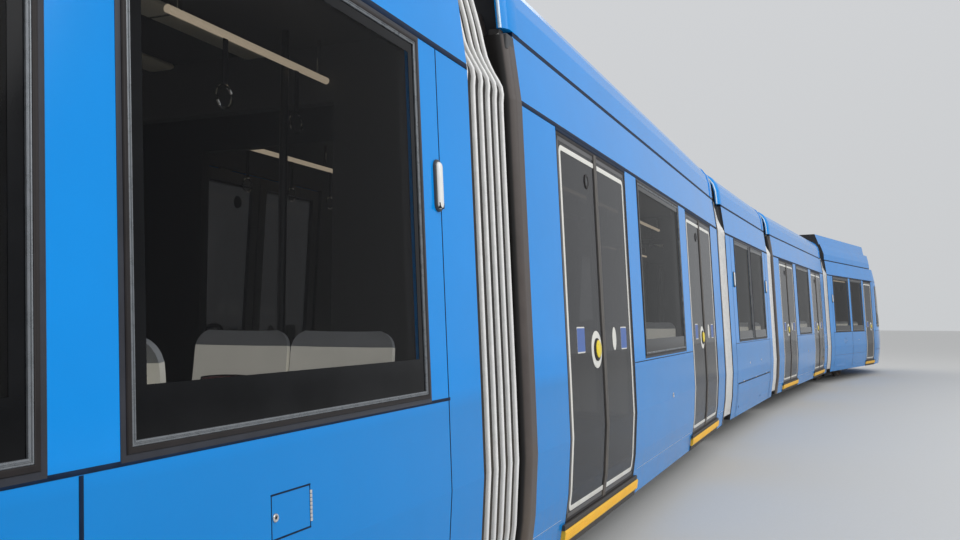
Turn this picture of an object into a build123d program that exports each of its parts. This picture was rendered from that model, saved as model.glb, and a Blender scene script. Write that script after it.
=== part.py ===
from build123d import *
import os
from math import asin, cos, radians, sin

# Five-section low-floor city tram: an end car with a cab at each end, two door cars
# hung between them and a short centre car, on three bogies with two wheelsets each.
# Lengths in millimetres. Z is zero at the rail head, X runs along the centre car and
# the origin is at the middle of the centre car. The cars stand bent as on a curve.

# Driving dimensions
BODY_WIDTH = 2650
END_CAR_LENGTH = 7330
DOOR_CAR_PITCH = 7050
CENTRE_CAR_PITCH = 4200
BODY_GAP = 660
FLOOR_TOP = 365
CEILING = 2600
ROOF_TOP = 2850
WALL = 60
END_WALL = 60
FLOOR_PLATE = 20

# Rest bends at the four pivots, in degrees, all turning towards -Y
BEND_END_1 = 0.5
BEND_CENTRE_1 = 2.6
BEND_CENTRE_2 = 2.2
BEND_END_2 = 8.0

# Body side: heights above the rail head and insets from the widest line
SKIRT_BOTTOM = 240
SKIRT_TUCK = 48
LOWER_BREAK = 520
LOWER_INSET = 12
WIDEST = 800
BELT = 1130
BELT_INSET = 14
CANTRAIL = 2450
CANTRAIL_INSET = 80
ROOF_SEAM = 2780
ROOF_SEAM_INSET = 128
ROOF_LEDGE = 50

# Gangway and articulation
GANGWAY_WIDTH = 1300
GANGWAY_TOP = 2350
TURNTABLE_RADIUS = 640
TURNTABLE_GAP = 8
ARM_WIDTH = 240
ARM_PLATE = 32
ARM_BOTTOM = 222
EYE_GAP = 6
PIVOT_PIN_RADIUS = 45
PIN_CLEARANCE = 0.6

# Windows and doors
WINDOW_RADIUS = 14
WINDOW_LEDGE = 45
GLASS = 8
GLASS_SET_BACK = 3
GLASS_PLAY = 3
WINDOW_BOTTOM = 1150
WINDOW_TOP = 2440
DOOR_CAR_WINDOW = 1640
DOOR_PILLAR = 340
DOOR_WIDTH = 1520
DOOR_TOP = 2430
DOOR_RADIUS = 90
DOOR_SET_BACK = 6
LEAF_THICKNESS = 34
LEAF_FRAME = 75
LEAF_PLAY = 8
LEAF_SEAL = 12
HANGER_WIDTH = 120
SINGLE_DOOR_WIDTH = 860
SILL_OUT = 14
SILL_HEIGHT = 34
SILL_DEPTH = 70
CENTRE_WINDOW = 1172
CENTRE_MULLION = 100
END_WINDOW_1 = (790, 2230)
END_PILLAR = 190

# Cab nose: the cab keeps its length, and the door before it goes with it
CAB_LENGTH = 2550
CAB_START = END_CAR_LENGTH - CAB_LENGTH
DOOR_TO_CAB = 120
SINGLE_DOOR_START = CAB_START - DOOR_TO_CAB - SINGLE_DOOR_WIDTH
END_WINDOW_2 = (END_WINDOW_1[1] + END_PILLAR, SINGLE_DOOR_START - END_PILLAR)
CAB_STRAIGHT = 80
TAPER_RADIUS = 4670
FRONT_RADIUS = 1050
CAB_WALL = 55
CAB_PARTITION = 40
CAB_DOORWAY = 640
CAB_DOORWAY_TOP = 2300
WINDSCREEN_HALF_WIDTH = 760
WINDSCREEN_BOTTOM = 1160
WINDSCREEN_TOP = 2520
WINDSCREEN_RADIUS = 140
CAB_WINDOW = (CAB_START + 300, END_CAR_LENGTH - 1370)
CAB_WINDOW_BOTTOM = 1240
CAB_WINDOW_TOP = 2330
# Columns: height, inset of the side, distance of the front from the nose tip
NOSE_LEVELS = [
    (SKIRT_BOTTOM, SKIRT_TUCK, 150),
    (LOWER_BREAK, LOWER_INSET, 35),
    (WIDEST, 0, 0),
    (BELT, BELT_INSET, 75),
    (CANTRAIL, CANTRAIL_INSET, 770),
    (ROOF_SEAM, ROOF_SEAM_INSET, 1000),
]

CAB_ROOF_LEVELS = [
    (ROOF_SEAM, ROOF_SEAM_INSET + ROOF_LEDGE, 1000 + ROOF_LEDGE),
    (ROOF_TOP, ROOF_SEAM_INSET + ROOF_LEDGE, 1080 + ROOF_LEDGE),
]
LAMP_INNER = 430
LAMP_OUTER = 780
LAMP_BOTTOM = 700
LAMP_TOP = 840
LAMP_SET_BACK = 2
LAMP_DEPTH = 34
DESK_BACK = END_CAR_LENGTH - 980
DESK_DEPTH = 550
DESK_LEAN = 80
DESK_TOP = 1080
DESK_FALL = 60
DESK_WIDTH = 1100
DRIVER_ROOM = 650
DRIVER_SEAT = DESK_BACK - DRIVER_ROOM

# Roof cowls, columns height and inset; an end car's levels also have the front's distance
COWL_BOTTOM = 2802
COWL_WALL = 36
COWL_FOOT = 110
COWL_FOOT_PLATE = 20
COWL_STEP = 3160
COWL_LEVELS = [
    (COWL_BOTTOM, 134), (2960, 150), (3050, 178), (3120, 228), (3165, 290), (3190, 380)]
LOWER_COWL_LEVELS = [
    (COWL_BOTTOM, 134, 1020), (2930, 140, 1050), (3060, 184, 1100), (COWL_STEP, 226, 1150)]
UPPER_COWL_LEVELS = [(COWL_STEP, 246, 1185), (3400, 338, 1430)]

# Roof equipment cases: set in from the body side, with fan recesses in a sloped lid
UNIT_INSET = 575
UNIT_EDGE_DROP = 60
UNIT_EDGE_WIDTH = 120
FAN_RADIUS = 260
FAN_DEPTH = 30
END_UNIT_LENGTH = 1800
END_UNIT_START = 700
END_UNIT_TO_CAB = 280
END_UNITS = [
    (END_UNIT_START, END_UNIT_START + END_UNIT_LENGTH),
    (CAB_START - END_UNIT_TO_CAB - END_UNIT_LENGTH, CAB_START - END_UNIT_TO_CAB)]
END_UNIT_HEIGHT = 420
DOOR_CAR_UNIT = 3200
DOOR_CAR_UNIT_HEIGHT = 300

# Bogies and wheels
WHEELBASE = 1800
BOGIE_FROM_PIVOT = 2100
WHEEL_RADIUS = 295
FLANGE_HEIGHT = 25
WHEEL_BACK = 684
WHEEL_WIDTH = 118
WHEEL_RIM = 62
WHEEL_DISH = 34
HUB_RADIUS = 95
HUB_FLARE = 22
FLANGE_WIDTH = 28
FLANGE_SLOPE = 8
FLANGE_TIP = 6
AXLE_RADIUS = 40
AXLE_HALF_LENGTH = 925
WHEEL_ROOM = 45
WHEEL_BOX_PLATE = 18
WHEEL_BOX_SIDE = 620
BEAM_INNER = 845
BEAM_WIDTH = 90
BEAM_BOTTOM = 190
BEAM_HEIGHT = 125
BEAM_OVERHANG = 190
BEAM_NOSE = 90
BEAM_NOSE_RISE = 55
CROSS_BEAM = 600
CROSS_BEAM_HOLE = 340
CROSS_BEAM_SETBACK = 20
MOTOR_LENGTH = 840
MOTOR_PLAY = 72
MOTOR_DROP = 10
MOTOR_ROUND = 48
MOTOR_FINS = 9
MOTOR_FIN = 14
MOTOR_FIN_DEPTH = 12
BRAKE_LENGTH = 660
BRAKE_PLAY = 8
BRAKE_WIDTH = 75
BRAKE_BOTTOM = 45
BRAKE_HEIGHT = 70
BRAKE_TOE = 60
BRAKE_TOE_RISE = 28
SPRING_OFFSET = 235
SPRING_INSET = 6
SPRING_WAIST = 8
HANGER_LENGTH = 50
AXLE_BOX_LENGTH = 190
AXLE_BOX_TOP = 400
AXLE_BOX_ROUND = 80

# Seats and poles
SEAT_WIDTH = 860
SEAT_GAP_TO_WALL = 25
SEAT_DEPTH = 430
SEAT_CUSHION = 110
SEAT_BACK_HEIGHT = 760
SEAT_BACK_RAKE = 100
SEAT_BACK_THICKNESS = 60
SEAT_ROOT = 30
SEAT_PLINTH = 330
INNER_SEAT = 100
OUTER_SEAT = WHEELBASE / 2 + 280
SEAT_TO_WHEEL_BOX = 47
DOOR_CAR_SEAT = 780
POLE_RADIUS = 17
END_CAR_POLES = [
    (BODY_GAP / 2 + 290, 560), (BODY_GAP / 2 + 290, -560),
    (SINGLE_DOOR_START - 50, 560), (SINGLE_DOOR_START - 50, -560), (CAB_START - 140, 420)]
DOOR_START = DOOR_CAR_WINDOW / 2 + DOOR_PILLAR
DOOR_MIDDLE = DOOR_START + DOOR_WIDTH / 2
POLE_BEFORE_DOOR = 60
DOOR_CAR_POLES = [
    (x, y) for x in (-DOOR_MIDDLE, POLE_BEFORE_DOOR - DOOR_START, DOOR_START - POLE_BEFORE_DOOR,
                     DOOR_MIDDLE) for y in (-420, 420)]

# Pantograph
PAN_ARM = 1250
PAN_REST_ANGLE = 5
PAN_FOOT_X = 650
PAN_BASE_HEIGHT = 170
PAN_AXIS_RISE = 70
PAN_TUBE = 34
PAN_HEAD_WIDTH = 1560
PAN_BASE_BACK = -500
PAN_BASE_FRONT = 120
PAN_BASE_WIDTH = 660
PAN_BASE_RAIL = 70
PAN_BASE_PLATE = 50
PAN_INSULATOR_RADIUS = 42
PAN_INSULATOR_INSET = 60
PAN_INSULATOR_SIDE = 50
PAN_LUG_SPREAD = 150
PAN_LUG_HALF = 45
PAN_LUG_PLATE = 30
PAN_FOOT_PIN = 20
PAN_ELBOW_PIN = 18
PAN_HEAD_PIN = 14
PAN_ELBOW_HALF = 60
PAN_UPPER_TUBE = 20
PAN_UPPER_SPREAD = 90
PAN_HEAD_SPREAD = 300
PAN_STRAP_Y = 345
PAN_STRAP_HALF = 170
PAN_STRAP_PLATE = 24
PAN_STRAP_DROP = 20
PAN_STRAP_RISE = 40
PAN_STRIP_SPREAD = 150
PAN_STRIP_WIDTH = 50
PAN_STRIP_HEIGHT = 35
PAN_HORN = 250
PAN_HORN_DROP = 80

# Gangway bellows, from a bogie car's end to the collar on a door car
BELLOWS_RIBS = 6
BELLOWS_RIB = 16
BELLOWS_FOLD_DEPTH = 45
BELLOWS_DEPTH = 90
BELLOWS_RIB_LIP = 4
BELLOWS_FOOT = 310
BELLOWS_TUCK = 12
# Columns height and inset, above the cantrail, where the bellows leaves the body's line
BELLOWS_CROWN = [(2540, 128), (2620, 165), (2750, 197), (2900, 239), (2980, 350)]
COLLAR_LENGTH = 160
COLLAR_SET_IN = BELLOWS_FOLD_DEPTH
POST_LENGTH = 115
POST_OUT = 3
POST_DEPTH = 112
POST_ROUND = 50
POST_TOP = 2760

HALF = BODY_WIDTH / 2
END_X = BODY_GAP / 2
TAPER_START = CAB_START + CAB_STRAIGHT
WHEEL_BOX_REACH = WHEEL_RADIUS + FLANGE_HEIGHT + WHEEL_ROOM
SEAT_TOE = WHEELBASE / 2 - WHEEL_BOX_REACH - WHEEL_BOX_PLATE - INNER_SEAT - SEAT_TO_WHEEL_BOX
SIDE_LEVELS = [
    (SKIRT_BOTTOM, SKIRT_TUCK),
    (LOWER_BREAK, LOWER_INSET),
    (WIDEST, 0),
    (BELT, BELT_INSET),
    (CANTRAIL, CANTRAIL_INSET),
    (ROOF_SEAM, ROOF_SEAM_INSET),
]


def box(x0, x1, y0, y1, z0, z1):
    """Plain block between two corners."""
    block = Box(x1 - x0, y1 - y0, z1 - z0)
    return Pos((x0 + x1) / 2, (y0 + y1) / 2, (z0 + z1) / 2) * block


def rounded_window(x0, x1, z0, z1, radius):
    """Block across the whole width, its corners round as seen from the side."""
    block = box(x0, x1, -BODY_WIDTH, BODY_WIDTH, z0, z1)
    return fillet(block.edges().filter_by(Axis.Y), radius)


def rod(start, end, radius):
    """Round bar between two points."""
    a = Vector(*start)
    b = Vector(*end)
    plane = Plane(origin=a, z_dir=b - a)
    return extrude(plane * Circle(radius), amount=(b - a).length)


def prism(points, length, plane):
    """Polygon given in a plane's own axes, extruded along its normal."""
    return extrude(plane * make_face(Polyline(*points, close=True)), amount=length)


def side_y(z, depth=0):
    """Distance of the body side from the middle at one height, less a depth."""
    for (z0, in0), (z1, in1) in zip(SIDE_LEVELS, SIDE_LEVELS[1:]):
        if z <= z1:
            return HALF - depth - in0 - (in1 - in0) * (z - z0) / (z1 - z0)
    return HALF - depth - SIDE_LEVELS[-1][1]


def side_slab(x0, x1, z0, z1, depth0, depth1):
    """Slab that follows the +Y body side between two depths below its surface."""
    levels = [z0] + [z for z, _ in SIDE_LEVELS if z0 < z < z1] + [z1]
    outer = [(side_y(z, depth0), z) for z in levels]
    inner = [(side_y(z, depth1), z) for z in reversed(levels)]
    return prism(outer + inner, x1 - x0, Plane.YZ.offset(x0))


def both_sides(shape):
    """The shape and its mirror image across the car's middle."""
    return [shape, mirror(shape, Plane.XZ)]


def body_section(depth, bottom, top):
    """Points of the whole cross-section between two heights, set in by a depth."""
    levels = [bottom] + [z for z, _ in SIDE_LEVELS if bottom < z < top] + [top]
    right = [(side_y(z, depth), z) for z in levels]
    return right + [(-y, z) for y, z in reversed(right)]


def outer_section():
    """Body section with the ledge that the roof cowl stands in."""
    side = [(side_y(z), z) for z, _ in SIDE_LEVELS]
    ledge_y = side_y(ROOF_SEAM) - ROOF_LEDGE
    side = side + [(ledge_y, ROOF_SEAM), (ledge_y, ROOF_TOP)]
    return side + [(-y, z) for y, z in reversed(side)]


def pane(x0, x1, z0, z1):
    """Bonded window pane on the +Y side, flush but for its set-back."""
    slab = side_slab(x0 + GLASS_PLAY, x1 - GLASS_PLAY, z0 + GLASS_PLAY, z1 - GLASS_PLAY,
                     GLASS_SET_BACK, GLASS_SET_BACK + GLASS)
    corners = slab.edges().filter_by(Axis.Y)
    return fillet(corners, WINDOW_RADIUS - GLASS_PLAY)


def cut_windows(shell, windows, z0, z1):
    """Through holes with a rebate for each pane, on both sides."""
    for x0, x1 in windows:
        shell -= rounded_window(x0 + WINDOW_LEDGE, x1 - WINDOW_LEDGE, z0 + WINDOW_LEDGE,
                                z1 - WINDOW_LEDGE, WINDOW_RADIUS)
        rebate = side_slab(x0, x1, z0, z1, -WALL, GLASS_SET_BACK + GLASS)
        rebate = fillet(rebate.edges().filter_by(Axis.Y), WINDOW_RADIUS)
        for cutter in both_sides(rebate):
            shell -= cutter
    return shell


def door_leaves(x0, x1):
    """Frames and glass of the one or two leaves in a doorway on the +Y side."""
    frames = []
    glass = []
    width = x1 - x0
    count = 2 if width > 1.2 * SINGLE_DOOR_WIDTH else 1
    leaf = (width - 2 * LEAF_PLAY - (count - 1) * LEAF_SEAL) / count
    z0 = FLOOR_TOP + LEAF_PLAY
    z1 = DOOR_TOP - LEAF_PLAY
    for n in range(count):
        start = x0 + LEAF_PLAY + n * (leaf + LEAF_SEAL)
        end = start + leaf
        skin = side_slab(start, end, z0, z1, DOOR_SET_BACK, DOOR_SET_BACK + GLASS)
        frame = side_slab(start, end, z0, z1, DOOR_SET_BACK + GLASS,
                          DOOR_SET_BACK + LEAF_THICKNESS)
        frame -= box(start + LEAF_FRAME, end - LEAF_FRAME, 0, BODY_WIDTH,
                     z0 + 2 * LEAF_FRAME, z1 - LEAF_FRAME)
        middle = (start + end) / 2
        frame += side_slab(middle - HANGER_WIDTH / 2, middle + HANGER_WIDTH / 2, z1, DOOR_TOP,
                           DOOR_SET_BACK + 2 * GLASS, DOOR_SET_BACK + LEAF_THICKNESS)
        frames += both_sides(frame)
        glass += both_sides(skin)
    return frames, glass


def cut_doors(shell, doors):
    """Doorways on both sides, each with a step edge at floor level."""
    for x0, x1 in doors:
        shell -= box(x0, x1, -BODY_WIDTH, BODY_WIDTH, FLOOR_TOP, DOOR_TOP)
        sill = side_slab(x0 + LEAF_PLAY, x1 - LEAF_PLAY, FLOOR_TOP - SILL_HEIGHT, FLOOR_TOP,
                         -SILL_OUT, SILL_DEPTH)
        for step in both_sides(sill):
            shell += step
    return shell


def saloon(x0, x1, open_back, open_front):
    """Hollow car body between two stations, with walls, roof and a deep floor."""
    shell = prism(outer_section(), x1 - x0, Plane.YZ.offset(x0))
    in0 = x0 if open_back else x0 + END_WALL
    in1 = x1 if open_front else x1 - END_WALL
    shell -= prism(body_section(WALL, FLOOR_TOP, CEILING), in1 - in0, Plane.YZ.offset(in0))
    return shell - box(x0 - 1, x1 + 1, -GANGWAY_WIDTH / 2, GANGWAY_WIDTH / 2, FLOOR_TOP,
                       GANGWAY_TOP)


def bogie_well(shell, centre, x0, x1):
    """Opens the underside for a bogie and adds a wheel box over each wheel."""
    floor_under = FLOOR_TOP - FLOOR_PLATE
    reach = WHEEL_BOX_REACH
    top = WHEEL_RADIUS + reach
    for axle in (centre - WHEELBASE / 2, centre + WHEELBASE / 2):
        for side in (-1, 1):
            ys = sorted((side * (WHEEL_BOX_SIDE - WHEEL_BOX_PLATE), side * (HALF - WALL / 2)))
            shell += box(axle - reach - WHEEL_BOX_PLATE, axle + reach + WHEEL_BOX_PLATE,
                         ys[0], ys[1], floor_under, top + WHEEL_BOX_PLATE)
            inner = sorted((side * WHEEL_BOX_SIDE, side * (HALF - WALL - LOWER_INSET)))
            shell -= box(axle - reach, axle + reach, inner[0], inner[1], floor_under - 1, top)
    void = body_section(WALL, SKIRT_BOTTOM, floor_under)
    return shell - prism(void, x1 - x0, Plane.YZ.offset(x0))


def turntable(pivot, side):
    """Round gangway floor at a pivot, with the neck that ties it to the car."""
    under = FLOOR_TOP - FLOOR_PLATE
    disc = Pos(pivot, 0, under + FLOOR_PLATE / 2) * Cylinder(TURNTABLE_RADIUS, FLOOR_PLATE)
    root = pivot - side * (END_X + END_WALL)
    xs = sorted((root, pivot))
    neck = box(xs[0], xs[1], -TURNTABLE_RADIUS, TURNTABLE_RADIUS, under, FLOOR_TOP)
    return disc + neck


def eye_arm(pivot, side):
    """Upper half of the articulation: an eye plate hung under a bogie car's end."""
    low = ARM_BOTTOM + ARM_PLATE + EYE_GAP
    high = low + ARM_PLATE
    root = pivot - side * (END_X + ARM_WIDTH)
    lug = pivot - side * (END_X - END_WALL)
    arm = box(*sorted((root, pivot)), -ARM_WIDTH / 2, ARM_WIDTH / 2, low, high)
    arm += Pos(pivot, 0, (low + high) / 2) * Cylinder(ARM_WIDTH / 2, ARM_PLATE)
    arm += box(*sorted((root, lug)), -ARM_WIDTH / 2, ARM_WIDTH / 2, high, FLOOR_TOP - FLOOR_PLATE)
    bore = Cylinder(PIVOT_PIN_RADIUS + PIN_CLEARANCE, 4 * ARM_PLATE)
    return arm - Pos(pivot, 0, low) * bore


def pin_arm(pivot, side):
    """Lower half of the articulation: an arm with the upright pin, on a door car."""
    root = pivot - side * (END_X + ARM_WIDTH)
    top = ARM_BOTTOM + ARM_PLATE
    arm = box(*sorted((root, pivot)), -ARM_WIDTH / 2, ARM_WIDTH / 2, ARM_BOTTOM, top)
    arm += Pos(pivot, 0, ARM_BOTTOM + ARM_PLATE / 2) * Cylinder(ARM_WIDTH / 2, ARM_PLATE)
    rise = ARM_PLATE + 2 * EYE_GAP
    return arm + Pos(pivot, 0, top + rise / 2) * Cylinder(PIVOT_PIN_RADIUS, rise)


def crosswise(points, y0, y1):
    """Side profile given as x and z, extruded across the car between two values of y."""
    return prism(points, y1 - y0, Plane.XZ.offset(-y1))


def across(point, reach, radius):
    """Round bar through a point, along Y, reaching the same way on both sides."""
    x, y, z = point
    return rod((x, y - reach, z), (x, y + reach, z), radius)


def straight_cowl(x0, x1):
    """Roof-edge cowl of a straight car: curved sides, end walls and a foot flange."""
    outer = [(HALF - inset, z) for z, inset in COWL_LEVELS]
    outer = outer + [(-y, z) for y, z in reversed(outer)]
    inner = [(HALF - inset - COWL_WALL, z) for z, inset in COWL_LEVELS]
    inner[0] = (inner[0][0], COWL_BOTTOM - 1)
    inner[-1] = (inner[-1][0], COWL_LEVELS[-1][0] + 1)
    inner = inner + [(-y, z) for y, z in reversed(inner)]
    cowl = prism(outer, x1 - x0, Plane.YZ.offset(x0))
    cowl -= prism(inner, x1 - x0 - 2 * COWL_WALL, Plane.YZ.offset(x0 + COWL_WALL))
    ledge_y = side_y(ROOF_SEAM) - ROOF_LEDGE
    cowl -= box(x0, x1, -ledge_y - 1, ledge_y + 1, COWL_BOTTOM, ROOF_TOP)
    foot_y = HALF - COWL_LEVELS[0][1] - COWL_WALL
    for side in (-1, 1):
        ys = sorted((side * (foot_y - COWL_FOOT), side * (foot_y + COWL_WALL / 2)))
        cowl += box(x0, x1, ys[0], ys[1], ROOF_TOP, ROOF_TOP + COWL_FOOT_PLATE)
    return cowl


def seat(x, facing, base, foot, y0):
    """One double seat: cushion, raked back and closed plinth down to its foot."""
    top = base + SEAT_CUSHION
    crown = base + SEAT_BACK_HEIGHT
    rake = SEAT_ROOT - SEAT_BACK_RAKE
    plinth = [(SEAT_TOE, foot), (SEAT_TOE, base)] if foot < base else []
    shape = [(0, foot)] + plinth + [
        (SEAT_DEPTH, base), (SEAT_DEPTH + SEAT_ROOT / 3, top), (-rake, top - SEAT_ROOT / 3),
        (-SEAT_ROOT, crown), (-SEAT_ROOT - SEAT_BACK_THICKNESS, crown), (-SEAT_ROOT, foot)]
    return crosswise([(x + facing * px, z) for px, z in shape], y0, y0 + SEAT_WIDTH)


def seats(rows, base):
    """Double seats on both sides from rows of place, facing and foot height."""
    y0 = HALF - WALL - BELT_INSET - SEAT_GAP_TO_WALL - SEAT_WIDTH
    result = []
    for x, facing, foot in rows:
        result += both_sides(seat(x, facing, base, foot, y0))
    return result


def bogie_seats(centre):
    """Facing seats: the outer ones on the wheel boxes, the inner ones on the floor."""
    box_top = WHEEL_RADIUS + WHEEL_BOX_REACH + WHEEL_BOX_PLATE
    rows = [(centre - OUTER_SEAT, 1, box_top), (centre - INNER_SEAT, -1, FLOOR_TOP),
            (centre + INNER_SEAT, 1, FLOOR_TOP), (centre + OUTER_SEAT, -1, box_top)]
    return seats(rows, box_top)


def poles(places):
    """Upright grab poles from floor to ceiling."""
    return [rod((x, y, FLOOR_TOP), (x, y, CEILING), POLE_RADIUS) for x, y in places]


def wheelset(x):
    """Two flanged wheels with dished webs on their axle."""
    tread = WHEEL_BACK + WHEEL_WIDTH
    rim = WHEEL_RADIUS - WHEEL_RIM
    # Columns: distance from the middle, radius
    profile = [
        (0, 0), (AXLE_HALF_LENGTH, 0), (AXLE_HALF_LENGTH, AXLE_RADIUS), (tread, AXLE_RADIUS),
        (tread, HUB_RADIUS), (tread - WHEEL_DISH, HUB_RADIUS + HUB_FLARE),
        (tread - WHEEL_DISH, rim - HUB_FLARE), (tread, rim), (tread, WHEEL_RADIUS),
        (WHEEL_BACK + FLANGE_WIDTH + FLANGE_SLOPE, WHEEL_RADIUS),
        (WHEEL_BACK + FLANGE_WIDTH - FLANGE_TIP, WHEEL_RADIUS + FLANGE_HEIGHT),
        (WHEEL_BACK, WHEEL_RADIUS + FLANGE_HEIGHT), (WHEEL_BACK, rim),
        (WHEEL_BACK + WHEEL_DISH, rim - HUB_FLARE),
        (WHEEL_BACK + WHEEL_DISH, HUB_RADIUS + HUB_FLARE), (WHEEL_BACK, HUB_RADIUS),
        (WHEEL_BACK, AXLE_RADIUS), (0, AXLE_RADIUS),
    ]
    half = revolve(Plane.YZ * make_face(Polyline(*profile, close=True)), Axis.Y)
    return Pos(x, 0, WHEEL_RADIUS) * (half + mirror(half, Plane.XZ))


def side_beam():
    """Longitudinal beam of the +Y side with raised noses and round-topped axle boxes."""
    reach = WHEELBASE / 2 + BEAM_OVERHANG
    top = BEAM_BOTTOM + BEAM_HEIGHT
    nose = BEAM_BOTTOM + BEAM_NOSE_RISE
    outline = [(BEAM_NOSE - reach, BEAM_BOTTOM), (reach - BEAM_NOSE, BEAM_BOTTOM), (reach, nose),
               (reach, top), (-reach, top), (-reach, nose)]
    beam = crosswise(outline, BEAM_INNER, BEAM_INNER + BEAM_WIDTH)
    for axle in (-WHEELBASE / 2, WHEELBASE / 2):
        axle_box = box(axle - AXLE_BOX_LENGTH / 2, axle + AXLE_BOX_LENGTH / 2, BEAM_INNER,
                       BEAM_INNER + BEAM_WIDTH, BEAM_BOTTOM, AXLE_BOX_TOP)
        crown = axle_box.edges().filter_by(Axis.Y).group_by(Axis.Z)[-1]
        beam += fillet(crown, AXLE_BOX_ROUND)
    return beam


def motor():
    """Motor case outside the +Y side beam, round along its length, with cooling fins."""
    inner = BEAM_INNER + BEAM_WIDTH
    outer = HALF - SKIRT_TUCK - WALL - MOTOR_PLAY
    low = BEAM_BOTTOM - MOTOR_DROP
    high = BEAM_BOTTOM + BEAM_HEIGHT
    case = box(-MOTOR_LENGTH / 2, MOTOR_LENGTH / 2, inner, outer, low, high)
    edges = case.edges().filter_by(Axis.X).group_by(Axis.Y)[-1]
    case = fillet(edges, MOTOR_ROUND)
    pitch = MOTOR_LENGTH / (MOTOR_FINS + 1)
    for n in range(MOTOR_FINS):
        x = (n + 1) * pitch - MOTOR_LENGTH / 2
        case -= box(x - MOTOR_FIN / 2, x + MOTOR_FIN / 2, outer - MOTOR_FIN_DEPTH, outer,
                    low, high)
    return case


def track_brake():
    """Magnetic track brake over the +Y rail, its shoe's toes turned up, on two hangers."""
    inner = WHEEL_BACK + BRAKE_PLAY
    reach = BRAKE_LENGTH / 2
    top = BRAKE_BOTTOM + BRAKE_HEIGHT
    toe = BRAKE_BOTTOM + BRAKE_TOE_RISE
    outline = [(BRAKE_TOE - reach, BRAKE_BOTTOM), (reach - BRAKE_TOE, BRAKE_BOTTOM), (reach, toe),
               (reach, top), (-reach, top), (-reach, toe)]
    brake = crosswise(outline, inner, inner + BRAKE_WIDTH)
    for x in (-SPRING_OFFSET, SPRING_OFFSET):
        brake += box(x - HANGER_LENGTH / 2, x + HANGER_LENGTH / 2, inner, inner + BRAKE_WIDTH,
                     top, BEAM_BOTTOM + CROSS_BEAM_SETBACK)
    return brake


def body_spring(x):
    """Waisted rubber spring between the +Y side beam and the car's floor."""
    low = BEAM_BOTTOM + BEAM_HEIGHT
    high = FLOOR_TOP - FLOOR_PLATE
    radius = BEAM_WIDTH / 2 - SPRING_INSET
    profile = [(0, low), (radius, low), (radius - SPRING_WAIST, (low + high) / 2),
               (radius, high), (0, high)]
    spring = revolve(Plane.XZ * make_face(Polyline(*profile, close=True)), Axis.Z)
    return Pos(x, BEAM_INNER + BEAM_WIDTH / 2, 0) * spring


def bogie_frame(centre):
    """Cross beam with, on both sides, a beam, a motor, a track brake and body springs."""
    cross_bottom = BEAM_BOTTOM + CROSS_BEAM_SETBACK
    cross_top = BEAM_BOTTOM + BEAM_HEIGHT - CROSS_BEAM_SETBACK
    hole_y = WHEEL_BACK - BEAM_WIDTH
    frame = box(-CROSS_BEAM / 2, CROSS_BEAM / 2, -BEAM_INNER, BEAM_INNER, cross_bottom, cross_top)
    frame -= box(-CROSS_BEAM_HOLE / 2, CROSS_BEAM_HOLE / 2, -hole_y, hole_y, 0, FLOOR_TOP)
    pieces = [side_beam(), motor(), track_brake()]
    pieces += [body_spring(x) for x in (-SPRING_OFFSET, SPRING_OFFSET)]
    for piece in pieces:
        for block in both_sides(piece):
            frame += block
    for axle in (-WHEELBASE / 2, WHEELBASE / 2):
        frame -= rod((axle, -HALF, WHEEL_RADIUS), (axle, HALF, WHEEL_RADIUS),
                     AXLE_RADIUS + PIN_CLEARANCE)
    return Pos(centre, 0, 0) * frame


def side_prism(low, high, inset, back):
    """Everything inside one leaning band of the +Y side with its tapered front end."""
    (z0, in0, _), (z1, in1, _) = low, high
    lean = Vector(0, in0 - in1, z1 - z0).normalized()
    plane = Plane(origin=(0, HALF - in0, z0), x_dir=(1, 0, 0), z_dir=lean)
    radius = TAPER_RADIUS - inset
    reach = asin(min(0.95, 1.2 * (END_CAR_LENGTH - TAPER_START) / TAPER_RADIUS))
    tip_x = TAPER_START + radius * sin(reach)
    tip_y = radius * cos(reach) - TAPER_RADIUS
    mid_x = TAPER_START + radius * sin(reach / 2)
    mid_y = radius * cos(reach / 2) - TAPER_RADIUS
    lines = [
        Line((back, -inset), (TAPER_START, -inset)),
        ThreePointArc((TAPER_START, -inset), (mid_x, mid_y), (tip_x, tip_y)),
        Line((tip_x, tip_y), (tip_x, -2 * BODY_WIDTH)),
        Line((tip_x, -2 * BODY_WIDTH), (back, -2 * BODY_WIDTH)),
        Line((back, -2 * BODY_WIDTH), (back, -inset)),
    ]
    return extrude(plane * make_face(Curve() + lines), amount=2 * BODY_WIDTH, both=True)


def front_prism(low, high, inset, back):
    """Everything behind one sloping band of the bowed front."""
    (z0, _, off0), (z1, _, off1) = low, high
    rake = Vector(off0 - off1, 0, z1 - z0).normalized()
    plane = Plane(origin=(END_CAR_LENGTH - off0, 0, z0), x_dir=(rake.Z, 0, -rake.X), z_dir=rake)
    radius = FRONT_RADIUS - inset
    reach = radians(80)
    edge_x = radius * cos(reach) - FRONT_RADIUS
    edge_y = radius * sin(reach)
    rear = 2 * (back - END_CAR_LENGTH)
    lines = [
        ThreePointArc((edge_x, -edge_y), (-inset, 0), (edge_x, edge_y)),
        Line((edge_x, edge_y), (rear, 2 * BODY_WIDTH)),
        Line((rear, 2 * BODY_WIDTH), (rear, -2 * BODY_WIDTH)),
        Line((rear, -2 * BODY_WIDTH), (edge_x, -edge_y)),
    ]
    return extrude(plane * make_face(Curve() + lines), amount=2 * BODY_WIDTH, both=True)


def nose_solid(inset, back, levels=NOSE_LEVELS):
    """Cab form between the first and last level, set in all round but not in height."""
    body = box(back, 2 * END_CAR_LENGTH, -BODY_WIDTH, BODY_WIDTH, levels[0][0], levels[-1][0])
    for low, high in zip(levels, levels[1:]):
        side = side_prism(low, high, inset, back)
        body &= side
        body &= mirror(side, Plane.XZ)
        body &= front_prism(low, high, inset, back)
    return body


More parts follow.
